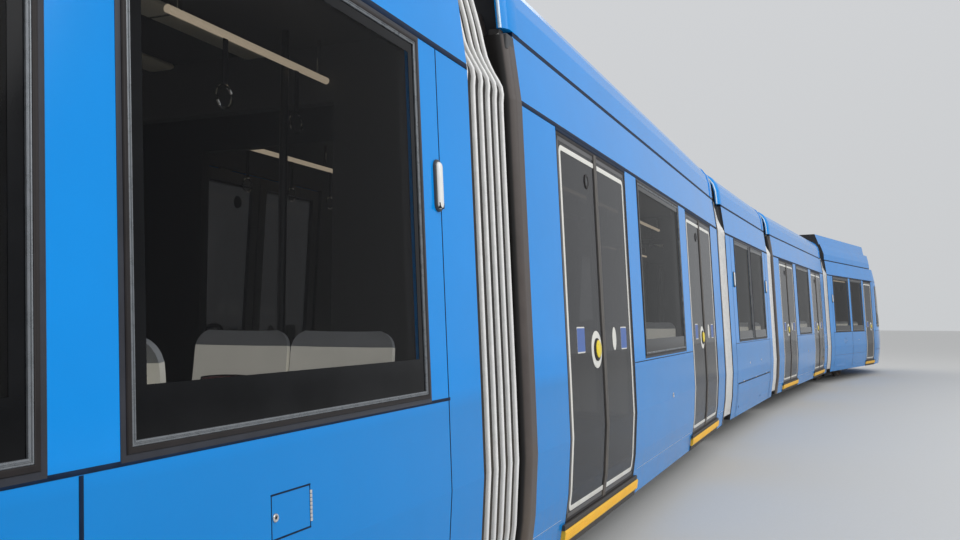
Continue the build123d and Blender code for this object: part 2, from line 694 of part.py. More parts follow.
def cab_window_block(ledge):
    """Block through both cab sides for the side window."""
    return rounded_window(CAB_WINDOW[0] + ledge, CAB_WINDOW[1] - ledge,
                          CAB_WINDOW_BOTTOM + ledge, CAB_WINDOW_TOP - ledge, WINDOW_RADIUS)


def windscreen_block(ledge):
    """Block through the front for the windscreen."""
    width = WINDSCREEN_HALF_WIDTH - ledge
    block = box(CAB_WINDOW[1], END_CAR_LENGTH + WALL, -width, width,
                WINDSCREEN_BOTTOM + ledge, WINDSCREEN_TOP - ledge)
    return fillet(block.edges().filter_by(Axis.X), WINDSCREEN_RADIUS)


def cab_shell_and_glass():
    """Moulded cab with its windscreen, side windows and lamps."""
    outer = nose_solid(0, CAB_START)
    outer += nose_solid(0, CAB_START, CAB_ROOF_LEVELS)
    room = nose_solid(CAB_WALL, CAB_START + CAB_PARTITION)
    room &= box(0, 2 * END_CAR_LENGTH, -BODY_WIDTH, BODY_WIDTH, FLOOR_TOP, CEILING)
    shell = outer - room
    shell -= box(CAB_START - 1, CAB_START + 2 * CAB_PARTITION, -CAB_DOORWAY / 2, CAB_DOORWAY / 2,
                 FLOOR_TOP, CAB_DOORWAY_TOP)
    glass_depth = GLASS_SET_BACK + GLASS
    core = nose_solid(glass_depth, CAB_START)
    skin = nose_solid(GLASS_SET_BACK, CAB_START) - core
    rind = outer - core
    openings = [cab_window_block(0), windscreen_block(0)]
    glass = []
    for block in openings:
        shell -= rind & block
        glass += (skin & block).solids()
    shell -= cab_window_block(WINDOW_LEDGE)
    shell -= windscreen_block(WINDOW_LEDGE)
    lamp_back = nose_solid(LAMP_SET_BACK + LAMP_DEPTH, CAB_START)
    lamp_skin = nose_solid(LAMP_SET_BACK, CAB_START) - nose_solid(LAMP_DEPTH, CAB_START)
    lamp_rind = outer - lamp_back
    lamps = []
    for side in (-1, 1):
        ys = sorted((side * LAMP_INNER, side * LAMP_OUTER))
        block = box(CAB_WINDOW[1], END_CAR_LENGTH + WALL, ys[0], ys[1], LAMP_BOTTOM, LAMP_TOP)
        shell -= lamp_rind & block
        lamps += (lamp_skin & block).solids()
    return shell, glass, lamps


def end_cowl():
    """Raised two-step roof cowl of an end car, closed at the front, open on top."""
    cowl = nose_solid(0, END_X, LOWER_COWL_LEVELS) + nose_solid(0, END_X, UPPER_COWL_LEVELS)
    lower_room = LOWER_COWL_LEVELS[:-1] + [(COWL_STEP - COWL_WALL,) + LOWER_COWL_LEVELS[-1][1:]]
    upper_room = [(COWL_STEP - 2 * COWL_WALL,) + UPPER_COWL_LEVELS[0][1:]] + UPPER_COWL_LEVELS
    cowl -= nose_solid(COWL_WALL, END_X + COWL_WALL, lower_room)
    cowl -= nose_solid(COWL_WALL, END_X + COWL_WALL, upper_room)
    ledge_y = side_y(ROOF_SEAM) - ROOF_LEDGE
    cowl -= box(END_X, CAB_START, -ledge_y - 1, ledge_y + 1, COWL_BOTTOM - 2, ROOF_TOP)
    cowl -= nose_solid(-1, CAB_START, CAB_ROOF_LEVELS)
    foot_y = HALF - COWL_LEVELS[0][1] - COWL_WALL
    for side in (-1, 1):
        ys = sorted((side * (foot_y - COWL_FOOT), side * (foot_y + COWL_WALL / 2)))
        cowl += box(END_X, CAB_START, ys[0], ys[1], ROOF_TOP, ROOF_TOP + COWL_FOOT_PLATE)
    return cowl


def roof_unit(x0, x1, height):
    """Equipment case on the roof with a sloped lid and two fan recesses."""
    side = HALF - UNIT_INSET
    lid = ROOF_TOP + height
    right = [(side, ROOF_TOP), (side, lid - UNIT_EDGE_DROP), (side - UNIT_EDGE_WIDTH, lid)]
    points = right + [(-y, z) for y, z in reversed(right)]
    unit = prism(points, x1 - x0, Plane.YZ.offset(x0))
    for n in (1, 3):
        x = x0 + (x1 - x0) * n / 4
        unit -= Pos(x, 0, lid) * Cylinder(FAN_RADIUS, 2 * FAN_DEPTH)
    return unit


def end_car():
    """Nodes of an end car in its own frame: pivot at zero, nose along +X."""
    windows = [END_WINDOW_1, END_WINDOW_2]
    doors = [(SINGLE_DOOR_START, SINGLE_DOOR_START + SINGLE_DOOR_WIDTH)]
    shell = saloon(END_X, CAB_START, False, True)
    shell = bogie_well(shell, BOGIE_FROM_PIVOT, END_X + END_WALL, SINGLE_DOOR_START - 80)
    shell = cut_windows(shell, windows, WINDOW_BOTTOM, WINDOW_TOP)
    shell = cut_doors(shell, doors)
    shell += turntable(0, -1) + eye_arm(0, -1)
    glass = []
    for x0, x1 in windows:
        glass += both_sides(pane(x0, x1, WINDOW_BOTTOM, WINDOW_TOP))
    frames, door_glass = door_leaves(*doors[0])
    cab, cab_glass, lamps = cab_shell_and_glass()
    desk_points = [
        (DESK_BACK, FLOOR_TOP), (DESK_BACK + DESK_DEPTH, FLOOR_TOP),
        (DESK_BACK + DESK_DEPTH + DESK_LEAN, DESK_TOP - DESK_FALL),
        (DESK_BACK + DESK_LEAN, DESK_TOP), (DESK_BACK, DESK_TOP - DESK_LEAN)]
    desk = crosswise(desk_points, -DESK_WIDTH / 2, DESK_WIDTH / 2)
    driver = seat(DRIVER_SEAT, 1, FLOOR_TOP + SEAT_PLINTH, FLOOR_TOP, -SEAT_WIDTH / 2)
    return {
        "shell": shell,
        "cab_shell": cab,
        "glazing": glass + door_glass + cab_glass,
        "door_frames": frames,
        "lamps": lamps,
        "roof_cowl": end_cowl(),
        "roof_unit": [roof_unit(x0, x1, END_UNIT_HEIGHT) for x0, x1 in END_UNITS],
        "seats": bogie_seats(BOGIE_FROM_PIVOT),
        "poles": poles(END_CAR_POLES),
        "cab_desk": [desk, driver],
        "bogie_frame": bogie_frame(BOGIE_FROM_PIVOT),
        "wheelset_1": wheelset(BOGIE_FROM_PIVOT - WHEELBASE / 2),
        "wheelset_2": wheelset(BOGIE_FROM_PIVOT + WHEELBASE / 2),
    }


def door_car():
    """Nodes of a suspended door car, its middle at zero."""
    half = DOOR_CAR_PITCH / 2 - END_X
    windows = [(-DOOR_CAR_WINDOW / 2, DOOR_CAR_WINDOW / 2)]
    doors = [(-DOOR_START - DOOR_WIDTH, -DOOR_START), (DOOR_START, DOOR_START + DOOR_WIDTH)]
    shell = saloon(-half, half, False, False)
    shell = cut_windows(shell, windows, WINDOW_BOTTOM, WINDOW_TOP)
    shell = cut_doors(shell, doors)
    frames = []
    glass = both_sides(pane(*windows[0], WINDOW_BOTTOM, WINDOW_TOP))
    for x0, x1 in doors:
        leaf_frames, leaf_glass = door_leaves(x0, x1)
        frames += leaf_frames
        glass += leaf_glass
    for side in (-1, 1):
        pivot = side * DOOR_CAR_PITCH / 2
        shell -= Pos(pivot, 0, FLOOR_TOP) * Cylinder(TURNTABLE_RADIUS + TURNTABLE_GAP,
                                                     2 * (FLOOR_PLATE + TURNTABLE_GAP))
        shell += pin_arm(pivot, side)
    rows = [(-DOOR_CAR_SEAT, 1, FLOOR_TOP), (DOOR_CAR_SEAT, -1, FLOOR_TOP)]
    return {
        "shell": shell,
        "glazing": glass,
        "door_frames": frames,
        "roof_cowl": straight_cowl(-half, half),
        "gangway_collars": collars(half),
        "roof_unit": roof_unit(-DOOR_CAR_UNIT / 2, DOOR_CAR_UNIT / 2, DOOR_CAR_UNIT_HEIGHT),
        "seats": seats(rows, FLOOR_TOP + SEAT_PLINTH),
        "poles": poles(DOOR_CAR_POLES),
    }


def centre_car():
    """Nodes of the centre car, its middle at zero, without the pantograph."""
    half = CENTRE_CAR_PITCH / 2 - END_X
    reach = CENTRE_MULLION / 2 + CENTRE_WINDOW
    windows = [(-reach, -CENTRE_MULLION / 2), (CENTRE_MULLION / 2, reach)]
    shell = saloon(-half, half, False, False)
    shell = bogie_well(shell, 0, -half + END_WALL, half - END_WALL)
    shell = cut_windows(shell, windows, WINDOW_BOTTOM, WINDOW_TOP)
    glass = []
    for x0, x1 in windows:
        glass += both_sides(pane(x0, x1, WINDOW_BOTTOM, WINDOW_TOP))
    for side in (-1, 1):
        pivot = side * CENTRE_CAR_PITCH / 2
        shell += turntable(pivot, side) + eye_arm(pivot, side)
    return {
        "shell": shell,
        "glazing": glass,
        "roof_cowl": straight_cowl(-half, half),
        "seats": bogie_seats(0),
        "bogie_frame": bogie_frame(0),
        "wheelset_1": wheelset(-WHEELBASE / 2),
        "wheelset_2": wheelset(WHEELBASE / 2),
    }


def pantograph():
    """Single-arm current collector, folded down, on the centre car's roof."""
    base_z = ROOF_TOP + PAN_BASE_HEIGHT
    axis_z = base_z + PAN_AXIS_RISE
    angle = radians(PAN_REST_ANGLE)
    foot = (PAN_FOOT_X, 0, axis_z)
    elbow = (PAN_FOOT_X - PAN_ARM * cos(angle), 0, axis_z + PAN_ARM * sin(angle))
    top = (PAN_FOOT_X, 0, axis_z + 2 * PAN_ARM * sin(angle))
    half = PAN_BASE_WIDTH / 2
    front = PAN_FOOT_X + PAN_BASE_FRONT
    under = base_z - PAN_BASE_PLATE
    base = box(PAN_BASE_BACK, front, -half, half, under, base_z)
    base -= box(PAN_BASE_BACK + PAN_BASE_RAIL, PAN_FOOT_X - 2 * PAN_LUG_HALF,
                PAN_BASE_RAIL - half, half - PAN_BASE_RAIL, under - 1, base_z + 1)
    for x in (PAN_BASE_BACK + PAN_INSULATOR_INSET, front - PAN_INSULATOR_INSET):
        for y in (PAN_INSULATOR_SIDE - half, half - PAN_INSULATOR_SIDE):
            base += rod((x, y, ROOF_TOP), (x, y, under), PAN_INSULATOR_RADIUS)
    for y in (-PAN_LUG_SPREAD, PAN_LUG_SPREAD):
        base += box(foot[0] - PAN_LUG_HALF, foot[0] + PAN_LUG_HALF, y - PAN_LUG_PLATE / 2,
                    y + PAN_LUG_PLATE / 2, base_z, axis_z + PAN_LUG_HALF)
        base -= rod((foot[0], y - PAN_LUG_PLATE, axis_z), (foot[0], y + PAN_LUG_PLATE, axis_z),
                    PAN_FOOT_PIN + PIN_CLEARANCE)
    pin_end = PAN_LUG_SPREAD + PAN_FOOT_PIN
    lower = rod((foot[0], -pin_end, foot[2]), (foot[0], pin_end, foot[2]), PAN_FOOT_PIN)
    lower += rod(foot, elbow, PAN_TUBE)
    lower += across(elbow, PAN_ELBOW_HALF, PAN_TUBE + 8)
    lower -= across(elbow, PAN_ELBOW_HALF + 1, PAN_ELBOW_PIN + PIN_CLEARANCE)
    upper = across(elbow, PAN_UPPER_SPREAD + PAN_UPPER_TUBE, PAN_ELBOW_PIN)
    for side in (-1, 1):
        upper += rod((elbow[0], side * PAN_UPPER_SPREAD, elbow[2]),
                     (top[0], side * PAN_HEAD_SPREAD, top[2]), PAN_UPPER_TUBE)
    upper += across(top, PAN_STRAP_Y + PAN_STRAP_PLATE / 2 + 8, PAN_HEAD_PIN)
    head = None
    for side in (-1, 1):
        middle = side * PAN_STRAP_Y
        strap = box(top[0] - PAN_STRAP_HALF, top[0] + PAN_STRAP_HALF,
                    middle - PAN_STRAP_PLATE / 2, middle + PAN_STRAP_PLATE / 2,
                    top[2] - PAN_STRAP_DROP, top[2] + PAN_STRAP_RISE)
        strap -= rod((top[0], middle - PAN_STRAP_PLATE, top[2]),
                     (top[0], middle + PAN_STRAP_PLATE, top[2]), PAN_HEAD_PIN + PIN_CLEARANCE)
        strip_x = top[0] + side * PAN_STRIP_SPREAD
        under = top[2] + PAN_STRAP_RISE
        half = PAN_HEAD_WIDTH / 2
        upper_line = [(half, under + PAN_STRIP_HEIGHT - PAN_HORN_DROP),
                      (half - PAN_HORN, under + PAN_STRIP_HEIGHT)]
        lower_line = [(half - PAN_HORN, under), (half, under - PAN_HORN_DROP)]
        outline = upper_line + [(-y, z) for y, z in reversed(upper_line)]
        outline += [(-y, z) for y, z in reversed(lower_line)] + lower_line
        strip = prism(outline, PAN_STRIP_WIDTH, Plane.YZ.offset(strip_x - PAN_STRIP_WIDTH / 2))
        head = strap + strip if head is None else head + strap + strip
    return {"base": base, "lower_arm": lower, "upper_arm": upper, "head": head}


def bellows_section(depth, low):
    """Points of the bellows' outline, set in by a depth all round but at its foot."""
    levels = [low, LOWER_BREAK, WIDEST, BELT, CANTRAIL]
    right = [(side_y(z, BELLOWS_TUCK + depth), z) for z in levels]
    right += [(HALF - inset - depth, z) for z, inset in BELLOWS_CROWN]
    right[-1] = (right[-1][0], right[-1][1] - depth)
    return right + [(-y, z) for y, z in reversed(right)]


def bellows_ring(start, length, depth0, depth1):
    """Arch between two depths below the bellows' outline, along X from one station."""
    plane = Plane.YZ.offset(start)
    outer = prism(bellows_section(depth0, BELLOWS_FOOT), length, plane)
    return outer - prism(bellows_section(depth1, BELLOWS_FOOT - BELLOWS_RIB), length, plane)


def bellows(bend):
    """Ribbed bellows about a pivot at zero, from a bogie car at -X to a collar at +X."""
    span = BODY_GAP - COLLAR_LENGTH
    fold = span / BELLOWS_RIBS - BELLOWS_RIB
    body = None
    start = -END_X
    for n in range(2 * BELLOWS_RIBS):
        is_rib = n % 2 == 0
        end = start + (BELLOWS_RIB if is_rib else fold)
        middle = (start + end) / 2
        turn = [bend * (0.5 - (s + END_X) / span) for s in (start, middle, end)]
        ring = bellows_ring(middle - BODY_GAP, 2 * BODY_GAP, 0 if is_rib else BELLOWS_FOLD_DEPTH,
                            BELLOWS_DEPTH + (BELLOWS_RIB_LIP if is_rib else 0))
        corners = []
        for s, angle, reach in ((start, turn[0], -BODY_WIDTH), (start, turn[0], BODY_WIDTH),
                                (end, turn[2], BODY_WIDTH), (end, turn[2], -BODY_WIDTH)):
            c = cos(radians(angle))
            d = sin(radians(angle))
            corners.append((s * c - reach * d, s * d + reach * c))
        wedge = prism(corners, 2 * ROOF_TOP, Plane.XY)
        piece = (Rot(0, 0, turn[1]) * ring) & wedge
        body = piece if body is None else body + piece
        start = end
    return body


def collars(end):
    """Arches at both ends of a door car that carry the bellows, with round corner posts."""
    collar = bellows_ring(end, COLLAR_LENGTH, COLLAR_SET_IN, BELLOWS_DEPTH)
    post = side_slab(end, end + POST_LENGTH, SKIRT_BOTTOM, POST_TOP, -POST_OUT, POST_DEPTH)
    nose = post.faces().sort_by(Axis.X)[-1]
    rounded = [e for e in nose.edges() if e.center().Y > side_y(e.center().Z, POST_DEPTH / 2)
               and abs(e.tangent_at(0.5).Y) < 0.5]
    for piece in both_sides(fillet(rounded, POST_ROUND)):
        collar += piece
    return [collar, mirror(collar, Plane.YZ)]


def heading_frame(point, heading):
    """Placement of a car's own frame in the tram."""
    return Location((point[0], point[1], 0), (0, 0, heading))


def along(point, heading, distance):
    """Point at a distance along a heading."""
    return (point[0] + distance * cos(radians(heading)), point[1] + distance * sin(radians(heading)))


pivot_c1 = (-CENTRE_CAR_PITCH / 2, 0)
pivot_c2 = (CENTRE_CAR_PITCH / 2, 0)
head_b = BEND_CENTRE_1
head_a = BEND_CENTRE_1 + BEND_END_1
head_d = -BEND_CENTRE_2
head_e = -BEND_CENTRE_2 - BEND_END_2
middle_b = along(pivot_c1, head_b, -DOOR_CAR_PITCH / 2)
pivot_e1 = along(pivot_c1, head_b, -DOOR_CAR_PITCH)
middle_d = along(pivot_c2, head_d, DOOR_CAR_PITCH / 2)
pivot_e2 = along(pivot_c2, head_d, DOOR_CAR_PITCH)

END_CAR_NODES = end_car()
DOOR_CAR_NODES = door_car()
GROUPS = [
    ("end_car_1", END_CAR_NODES, heading_frame(pivot_e1, head_a + 180)),
    ("end_car_2", END_CAR_NODES, heading_frame(pivot_e2, head_e)),
    ("door_car_1", DOOR_CAR_NODES, heading_frame(middle_b, head_b)),
    ("door_car_2", DOOR_CAR_NODES, heading_frame(middle_d, head_d)),
    ("centre_car", centre_car(), heading_frame((0, 0), 0)),
    ("pantograph", pantograph(), heading_frame((0, 0), 0)),
    ("bellows", {"1": bellows(BEND_END_1)}, heading_frame(pivot_e1, (head_a + head_b) / 2)),
    ("bellows", {"2": bellows(-BEND_CENTRE_1)}, heading_frame(pivot_c1, head_b / 2 + 180)),
    ("bellows", {"3": bellows(BEND_CENTRE_2)}, heading_frame(pivot_c2, head_d / 2)),
    ("bellows", {"4": bellows(-BEND_END_2)},
     heading_frame(pivot_e2, (head_d + head_e) / 2 + 180)),
]

os.makedirs("parts", exist_ok=True)
for group, nodes, frame in GROUPS:
    for name, shape in nodes.items():
        solids = shape if isinstance(shape, list) else [shape]
        pieces = [s for part in solids for s in part.solids()]
        # The cabs' edges are stored in space only, which keeps them closed when read back
        in_space = group.startswith("end_car")
        export_step(frame * Compound(pieces), f"parts/{group}_{name}.step",
                    write_pcurves=not in_space)
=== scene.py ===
import json
from math import copysign, cos, exp, pi, radians, sin

import bmesh
import bpy
from mathutils import Matrix, Vector
from mathutils.bvhtree import BVHTree


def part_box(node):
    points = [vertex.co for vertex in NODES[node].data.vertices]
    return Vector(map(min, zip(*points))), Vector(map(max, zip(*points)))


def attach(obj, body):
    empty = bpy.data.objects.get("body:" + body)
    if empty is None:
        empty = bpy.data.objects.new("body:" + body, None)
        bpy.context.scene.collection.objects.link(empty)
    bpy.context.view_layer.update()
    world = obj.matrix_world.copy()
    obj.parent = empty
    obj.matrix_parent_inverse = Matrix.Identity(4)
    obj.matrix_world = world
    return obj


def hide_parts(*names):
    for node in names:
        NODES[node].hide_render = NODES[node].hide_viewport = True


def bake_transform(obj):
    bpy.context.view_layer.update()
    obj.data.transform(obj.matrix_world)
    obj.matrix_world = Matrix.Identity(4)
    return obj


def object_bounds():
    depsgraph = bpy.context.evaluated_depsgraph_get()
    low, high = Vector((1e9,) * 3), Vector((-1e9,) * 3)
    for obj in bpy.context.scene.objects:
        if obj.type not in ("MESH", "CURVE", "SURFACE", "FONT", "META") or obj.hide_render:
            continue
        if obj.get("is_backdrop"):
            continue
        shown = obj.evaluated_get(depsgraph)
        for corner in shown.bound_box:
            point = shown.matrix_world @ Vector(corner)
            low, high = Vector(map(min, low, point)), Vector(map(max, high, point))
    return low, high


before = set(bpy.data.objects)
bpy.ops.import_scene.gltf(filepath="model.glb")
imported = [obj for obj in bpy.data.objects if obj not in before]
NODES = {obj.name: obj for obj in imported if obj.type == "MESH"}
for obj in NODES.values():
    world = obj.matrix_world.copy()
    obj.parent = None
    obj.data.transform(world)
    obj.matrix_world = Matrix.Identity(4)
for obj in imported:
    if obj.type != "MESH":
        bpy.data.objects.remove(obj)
CAD_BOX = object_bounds()

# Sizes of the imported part, in metres
HALF = 1.325
CENTRE_PITCH = 4.2
DOOR_PITCH = 7.05
GAP = 0.66
BENDS = (0.5, 2.6, 2.2, 8.0)
# Height and inset of the body side
SIDE = [(0.24, 0.048), (0.52, 0.012), (0.8, 0.0), (1.13, 0.014), (2.45, 0.08), (2.78, 0.128)]
SKIRT, PANEL_TOP, BELT, CANTRAIL, GUTTER, ROOF = 0.245, 0.64, 1.131, 2.44, 2.452, 2.85
WINDOW_Z = (1.15, CANTRAIL)
DOOR_Z = (0.365, 2.43)
END_WINDOWS = [(0.79, 2.23), (2.42, 3.61)]
CENTRE_WINDOWS = [(-1.222, -0.05), (0.05, 1.222)]
DOOR_WINDOWS = [(-0.82, 0.82)]
DOUBLE_DOORS = [(-2.68, -1.16), (1.16, 2.68)]
SINGLE_DOORS = [(3.8, 4.66)]
ROOF_UNITS = {"end": ([(0.7, 2.5), (2.7, 4.5)], 0.42), "door": ([(-1.6, 1.6)], 0.3)}
CAB_MIDDLE = 5.6
BOGIE_X = 2.1
WHEELBASE = 1.8
AXLE_Z = 0.295


def along(point, heading, distance):
    turn = radians(heading)
    return (point[0] + distance * cos(turn), point[1] + distance * sin(turn))


HEAD_B = BENDS[1]
HEAD_A = HEAD_B + BENDS[0]
HEAD_D = -BENDS[2]
HEAD_E = HEAD_D - BENDS[3]
PIVOT_2 = (-CENTRE_PITCH / 2, 0.0)
PIVOT_3 = (CENTRE_PITCH / 2, 0.0)
PIVOT_1 = along(PIVOT_2, HEAD_B, -DOOR_PITCH)
PIVOT_4 = along(PIVOT_3, HEAD_D, DOOR_PITCH)
# Car's body name: place of its own frame's origin and its heading
CARS = {
    "end_car_1": (PIVOT_1, HEAD_A + 180),
    "door_car_1": (along(PIVOT_2, HEAD_B, -DOOR_PITCH / 2), HEAD_B),
    "centre_car": ((0.0, 0.0), 0.0),
    "door_car_2": (along(PIVOT_3, HEAD_D, DOOR_PITCH / 2), HEAD_D),
    "end_car_2": (PIVOT_4, HEAD_E),
}
END_CARS = ("end_car_1", "end_car_2")
DOOR_CARS = ("door_car_1", "door_car_2")


def placement(point, heading):
    return Matrix.Translation((point[0], point[1], 0)) @ Matrix.Rotation(radians(heading), 4, "Z")


def vec(*values):
    return Vector(values)


def mm(*values):
    """Pairs in metres from a plain row of millimetres."""
    return [(a / 1000, b / 1000) for a, b in zip(values[::2], values[1::2])]


def circle(count):
    """Cosine and sine of evenly spaced angles."""
    return [(cos(2 * pi * k / count), sin(2 * pi * k / count)) for k in range(count)]


def side_y(z):
    """Distance of the straight body side from a car's middle at one height."""
    if z <= SIDE[0][0]:
        return HALF - SIDE[0][1]
    for (z0, in0), (z1, in1) in zip(SIDE, SIDE[1:]):
        if z <= z1:
            return HALF - in0 - (in1 - in0) * (z - z0) / (z1 - z0)
    return HALF - SIDE[-1][1]


def on_side(x, z, out):
    """Point over the straight +Y side of a car."""
    return vec(x, side_y(z) + out, z)


# ---- materials


def srgb(r, g, b):
    """Linear colour of an sRGB colour given from 0 to 255."""
    values = [c / 255 for c in (r, g, b)]
    return tuple(c / 12.92 if c <= 0.04045 else ((c + 0.055) / 1.055) ** 2.4 for c in values)


class Nodes:
    """Short way to build one material's nodes."""

    def __init__(self, name):
        self.mat = bpy.data.materials.new(name)
        self.mat.use_nodes = True
        self.tree = self.mat.node_tree
        self.bsdf = self.tree.nodes["Principled BSDF"]
        texture = self.tree.nodes.new("ShaderNodeTexCoord")
        self.coords = texture.outputs["Object"]
        self.normal = texture.outputs["Normal"]

    def node(self, kind, inputs=(), **settings):
        made = self.tree.nodes.new("ShaderNode" + kind)
        for key, value in settings.items():
            setattr(made, key, value)
        for socket, value in dict(inputs).items():
            self.put(made.inputs[socket], value)
        return made

    def put(self, socket, value):
        if isinstance(value, bpy.types.NodeSocket):
            self.tree.links.new(value, socket)
        else:
            socket.default_value = value

    def noise(self, scale, detail=3.0, rough=0.5, stretch=None):
        vector = self.coords
        if stretch is not None:
            vector = self.node("Mapping", {0: vector, "Scale": stretch}).outputs[0]
        inputs = {"Vector": vector, "Scale": scale, "Detail": detail, "Roughness": rough}
        return self.node("TexNoise", inputs).outputs["Fac"]

    def math(self, operation, a, b=0.5):
        return self.node("Math", {0: a, 1: b}, operation=operation).outputs[0]

    def both(self, a, b):
        return self.math("MULTIPLY", a, b)

    def axis(self, vector, index):
        return self.node("SeparateXYZ", {0: vector}).outputs[index]

    def dot(self, a, b):
        return self.node("VectorMath", {0: a, 1: b}, operation="DOT_PRODUCT").outputs["Value"]

    def facing(self, car):
        """How squarely a face looks along its car, from 0 to 1."""
        heading = radians(CARS[car][1])
        return self.math("ABSOLUTE", self.dot(self.normal, (cos(heading), sin(heading), 0)))

    def ranged(self, value, low, high, to_low=0.0, to_high=1.0, smooth=False):
        made = self.node("MapRange", {0: value, 1: low, 2: high, 3: to_low, 4: to_high})
        if smooth:
            made.interpolation_type = "SMOOTHSTEP"
        return made.outputs[0]

    def mix(self, factor, a, b):
        made = self.node("Mix", data_type="RGBA")
        for index, value in ((0, factor), (6, a), (7, b)):
            if not isinstance(value, bpy.types.NodeSocket) and index:
                value = (*value[:3], 1.0)
            self.put(made.inputs[index], value)
        return made.outputs[2]

    def finish(self, colour, rough, bump, strength=0.1, distance=0.001, **constants):
        made = self.node("Bump", {"Height": bump, "Strength": strength, "Distance": distance})
        for name, value in (("Base Color", colour), ("Roughness", rough), ("Normal", made.outputs[0])):
            self.put(self.bsdf.inputs[name], value)
        for name, value in constants.items():
            self.bsdf.inputs[name.replace("_", " ")].default_value = value
        return self.mat


def varied(name, colour, rough, scale=6.0, spread=0.08, grain=400.0, strength=0.08, dust=0.0,
           wear=None, **constants):
    """Finish with clouded colour and roughness, fine grain, and dust that gathers low down."""
    n = Nodes(name)
    colour = srgb(*colour)
    cloud = n.noise(scale, 4.0, 0.55)
    fine = n.noise(grain, 2.0)
    dark = tuple(c * (1 - spread) for c in colour)
    light = tuple(min(1.0, c * (1 + spread) + 0.004) for c in colour)
    shade = n.mix(n.ranged(cloud, 0.3, 0.7), dark, light)
    if dust:
        low = n.ranged(n.axis(n.coords, 2), 0.9, 0.1, 0.0, dust, smooth=True)
        shade = n.mix(n.both(low, n.ranged(cloud, 0.35, 0.75)), shade, srgb(128, 112, 92))
    if wear is not None:
        patches = n.ranged(n.noise(scale * 9, 5.0, 0.7), 0.62, 0.72, 0.0, 0.7)
        shade = n.mix(patches, shade, srgb(*wear))
    level = n.ranged(n.math("ADD", cloud, n.both(fine, 0.5)), 0.4, 1.1, rough * 0.82, rough * 1.2)
    return n.finish(shade, level, fine, strength, 0.0006, **constants)


BLUE = srgb(0, 141, 226)
LACQUER = {"Specular_IOR_Level": 0.2, "Coat_Weight": 0.03, "Coat_Roughness": 0.04, "IOR": 1.5}


def car_coords(n, car):
    """Position in a car's own frame as three separate outputs."""
    back = placement(*CARS[car]).inverted()
    turned_back = n.node("Mapping", {0: n.coords, "Location": back.translation,
                                     "Rotation": (0, 0, -radians(CARS[car][1]))})
    return n.node("SeparateXYZ", {0: turned_back.outputs[0]}).outputs


def side_curve(n, z):
    """Body side's distance from the middle at height z, read from a curve."""
    curve = n.node("FloatCurve", {"Value": n.math("DIVIDE", z, 4.0)})
    points = curve.mapping.curves[0].points
    wanted = [(0.0, side_y(0.24))] + [(h / 4, side_y(h)) for h, _ in SIDE] + [(1.0, side_y(3.0))]
    while len(points) < len(wanted):
        points.new(0.5, 0.5)
    for point, (x, y) in zip(points, sorted(wanted)):
        point.location = (x, y / 2)
        point.handle_type = "VECTOR"
    curve.mapping.update()
    return n.math("MULTIPLY", curve.outputs[0], 2.0)


def lacquer(n, cloud):
    """Clouded blue of the coach paint."""
    dark, light = (tuple(min(1.0, c * k) for c in BLUE) for k in (0.955, 1.04))
    return n.mix(n.ranged(cloud, 0.3, 0.7), dark, light)


def inside_mask(n, car, x, y, z):
    """Faces behind the straight sides, and in the cab those that look at its middle."""
    inside = n.math("LESS_THAN", n.math("ABSOLUTE", y), n.math("SUBTRACT", side_curve(n, z), 0.03))
    if car in END_CARS:
        middle = placement(*CARS[car]) @ vec(CAB_MIDDLE, 0.0, 1.6)
        away = n.node("VectorMath", {0: n.coords, 1: middle}, operation="SUBTRACT").outputs[0]
        in_cab = n.math("LESS_THAN", n.dot(n.normal, away), 0.0)
        inside = n.node("Mix", {0: n.ranged(x, 4.785, 4.79), 2: inside, 3: in_cab}).outputs[0]
    return n.both(inside, n.ranged(z, 2.79, 2.785))


def paint(name, car, has_inside=True):
    """Gloss blue outside with painted shade below the belt, dirt streaks low down, grey roof, dark grey
    painted shade on the end walls, lining and floor.
    """
    n = Nodes(name)
    x, y, z = car_coords(n, car)
    cloud = n.noise(1.7, 4.0, 0.55)
    # Painted shade: below the belt the blue is mixed up to 30% toward a darker blue, for the dark ground the
    # lower side reflects.
    shade = n.mix(n.ranged(z, 1.16, 1.09, 0.0, 0.3), lacquer(n, cloud), srgb(16, 100, 152))
    streak = n.noise(3.0, 6.0, 0.65, stretch=(9.0, 9.0, 0.7))
    dirt = n.both(n.ranged(streak, 0.45, 0.8), n.ranged(z, 0.75, 0.24, 0.0, 0.3, smooth=True))
    shade = n.mix(dirt, shade, srgb(96, 96, 90))
    gloss = n.math("ADD", n.ranged(cloud, 0.3, 0.7, 0.12, 0.17), n.both(dirt, 0.5))
    roof = n.both(n.ranged(z, 2.84, 2.845), n.ranged(n.axis(n.normal, 2), 0.8, 0.9))
    shade = n.mix(roof, shade, n.mix(cloud, srgb(118, 122, 124), srgb(150, 153, 154)))
    # Painted shade: faces that look along the car, the end walls in the gangway gap, turn dark grey and
    # rougher; on end cars only near the gangway end.
    wall = n.ranged(n.facing(car), 0.93, 0.97)
    if car in END_CARS:
        wall = n.both(wall, n.ranged(x, 0.42, 0.4))
    shade = n.mix(wall, shade, n.mix(cloud, srgb(44, 45, 48), srgb(62, 63, 66)))
    gloss = n.math("ADD", gloss, n.both(wall, 0.4))
    if has_inside:
        room = inside_mask(n, car, x, y, z)
        lining = n.mix(n.noise(260.0, 2.0), srgb(74, 74, 76), srgb(88, 88, 88))
        floor = n.mix(n.ranged(n.noise(700.0, 1.0), 0.55, 0.6), srgb(46, 48, 52), srgb(92, 96, 100))
        lining = n.mix(n.ranged(z, 0.4, 0.39), lining, floor)
        lining = n.mix(n.ranged(z, 0.352, 0.35), lining, srgb(38, 37, 36))
        shade = n.mix(room, shade, lining)
        gloss = n.node("Mix", {0: room, 2: gloss, 3: 0.55}).outputs[0]
    return n.finish(shade, gloss, n.noise(900.0, 1.0), 0.03, 0.0004, **LACQUER)


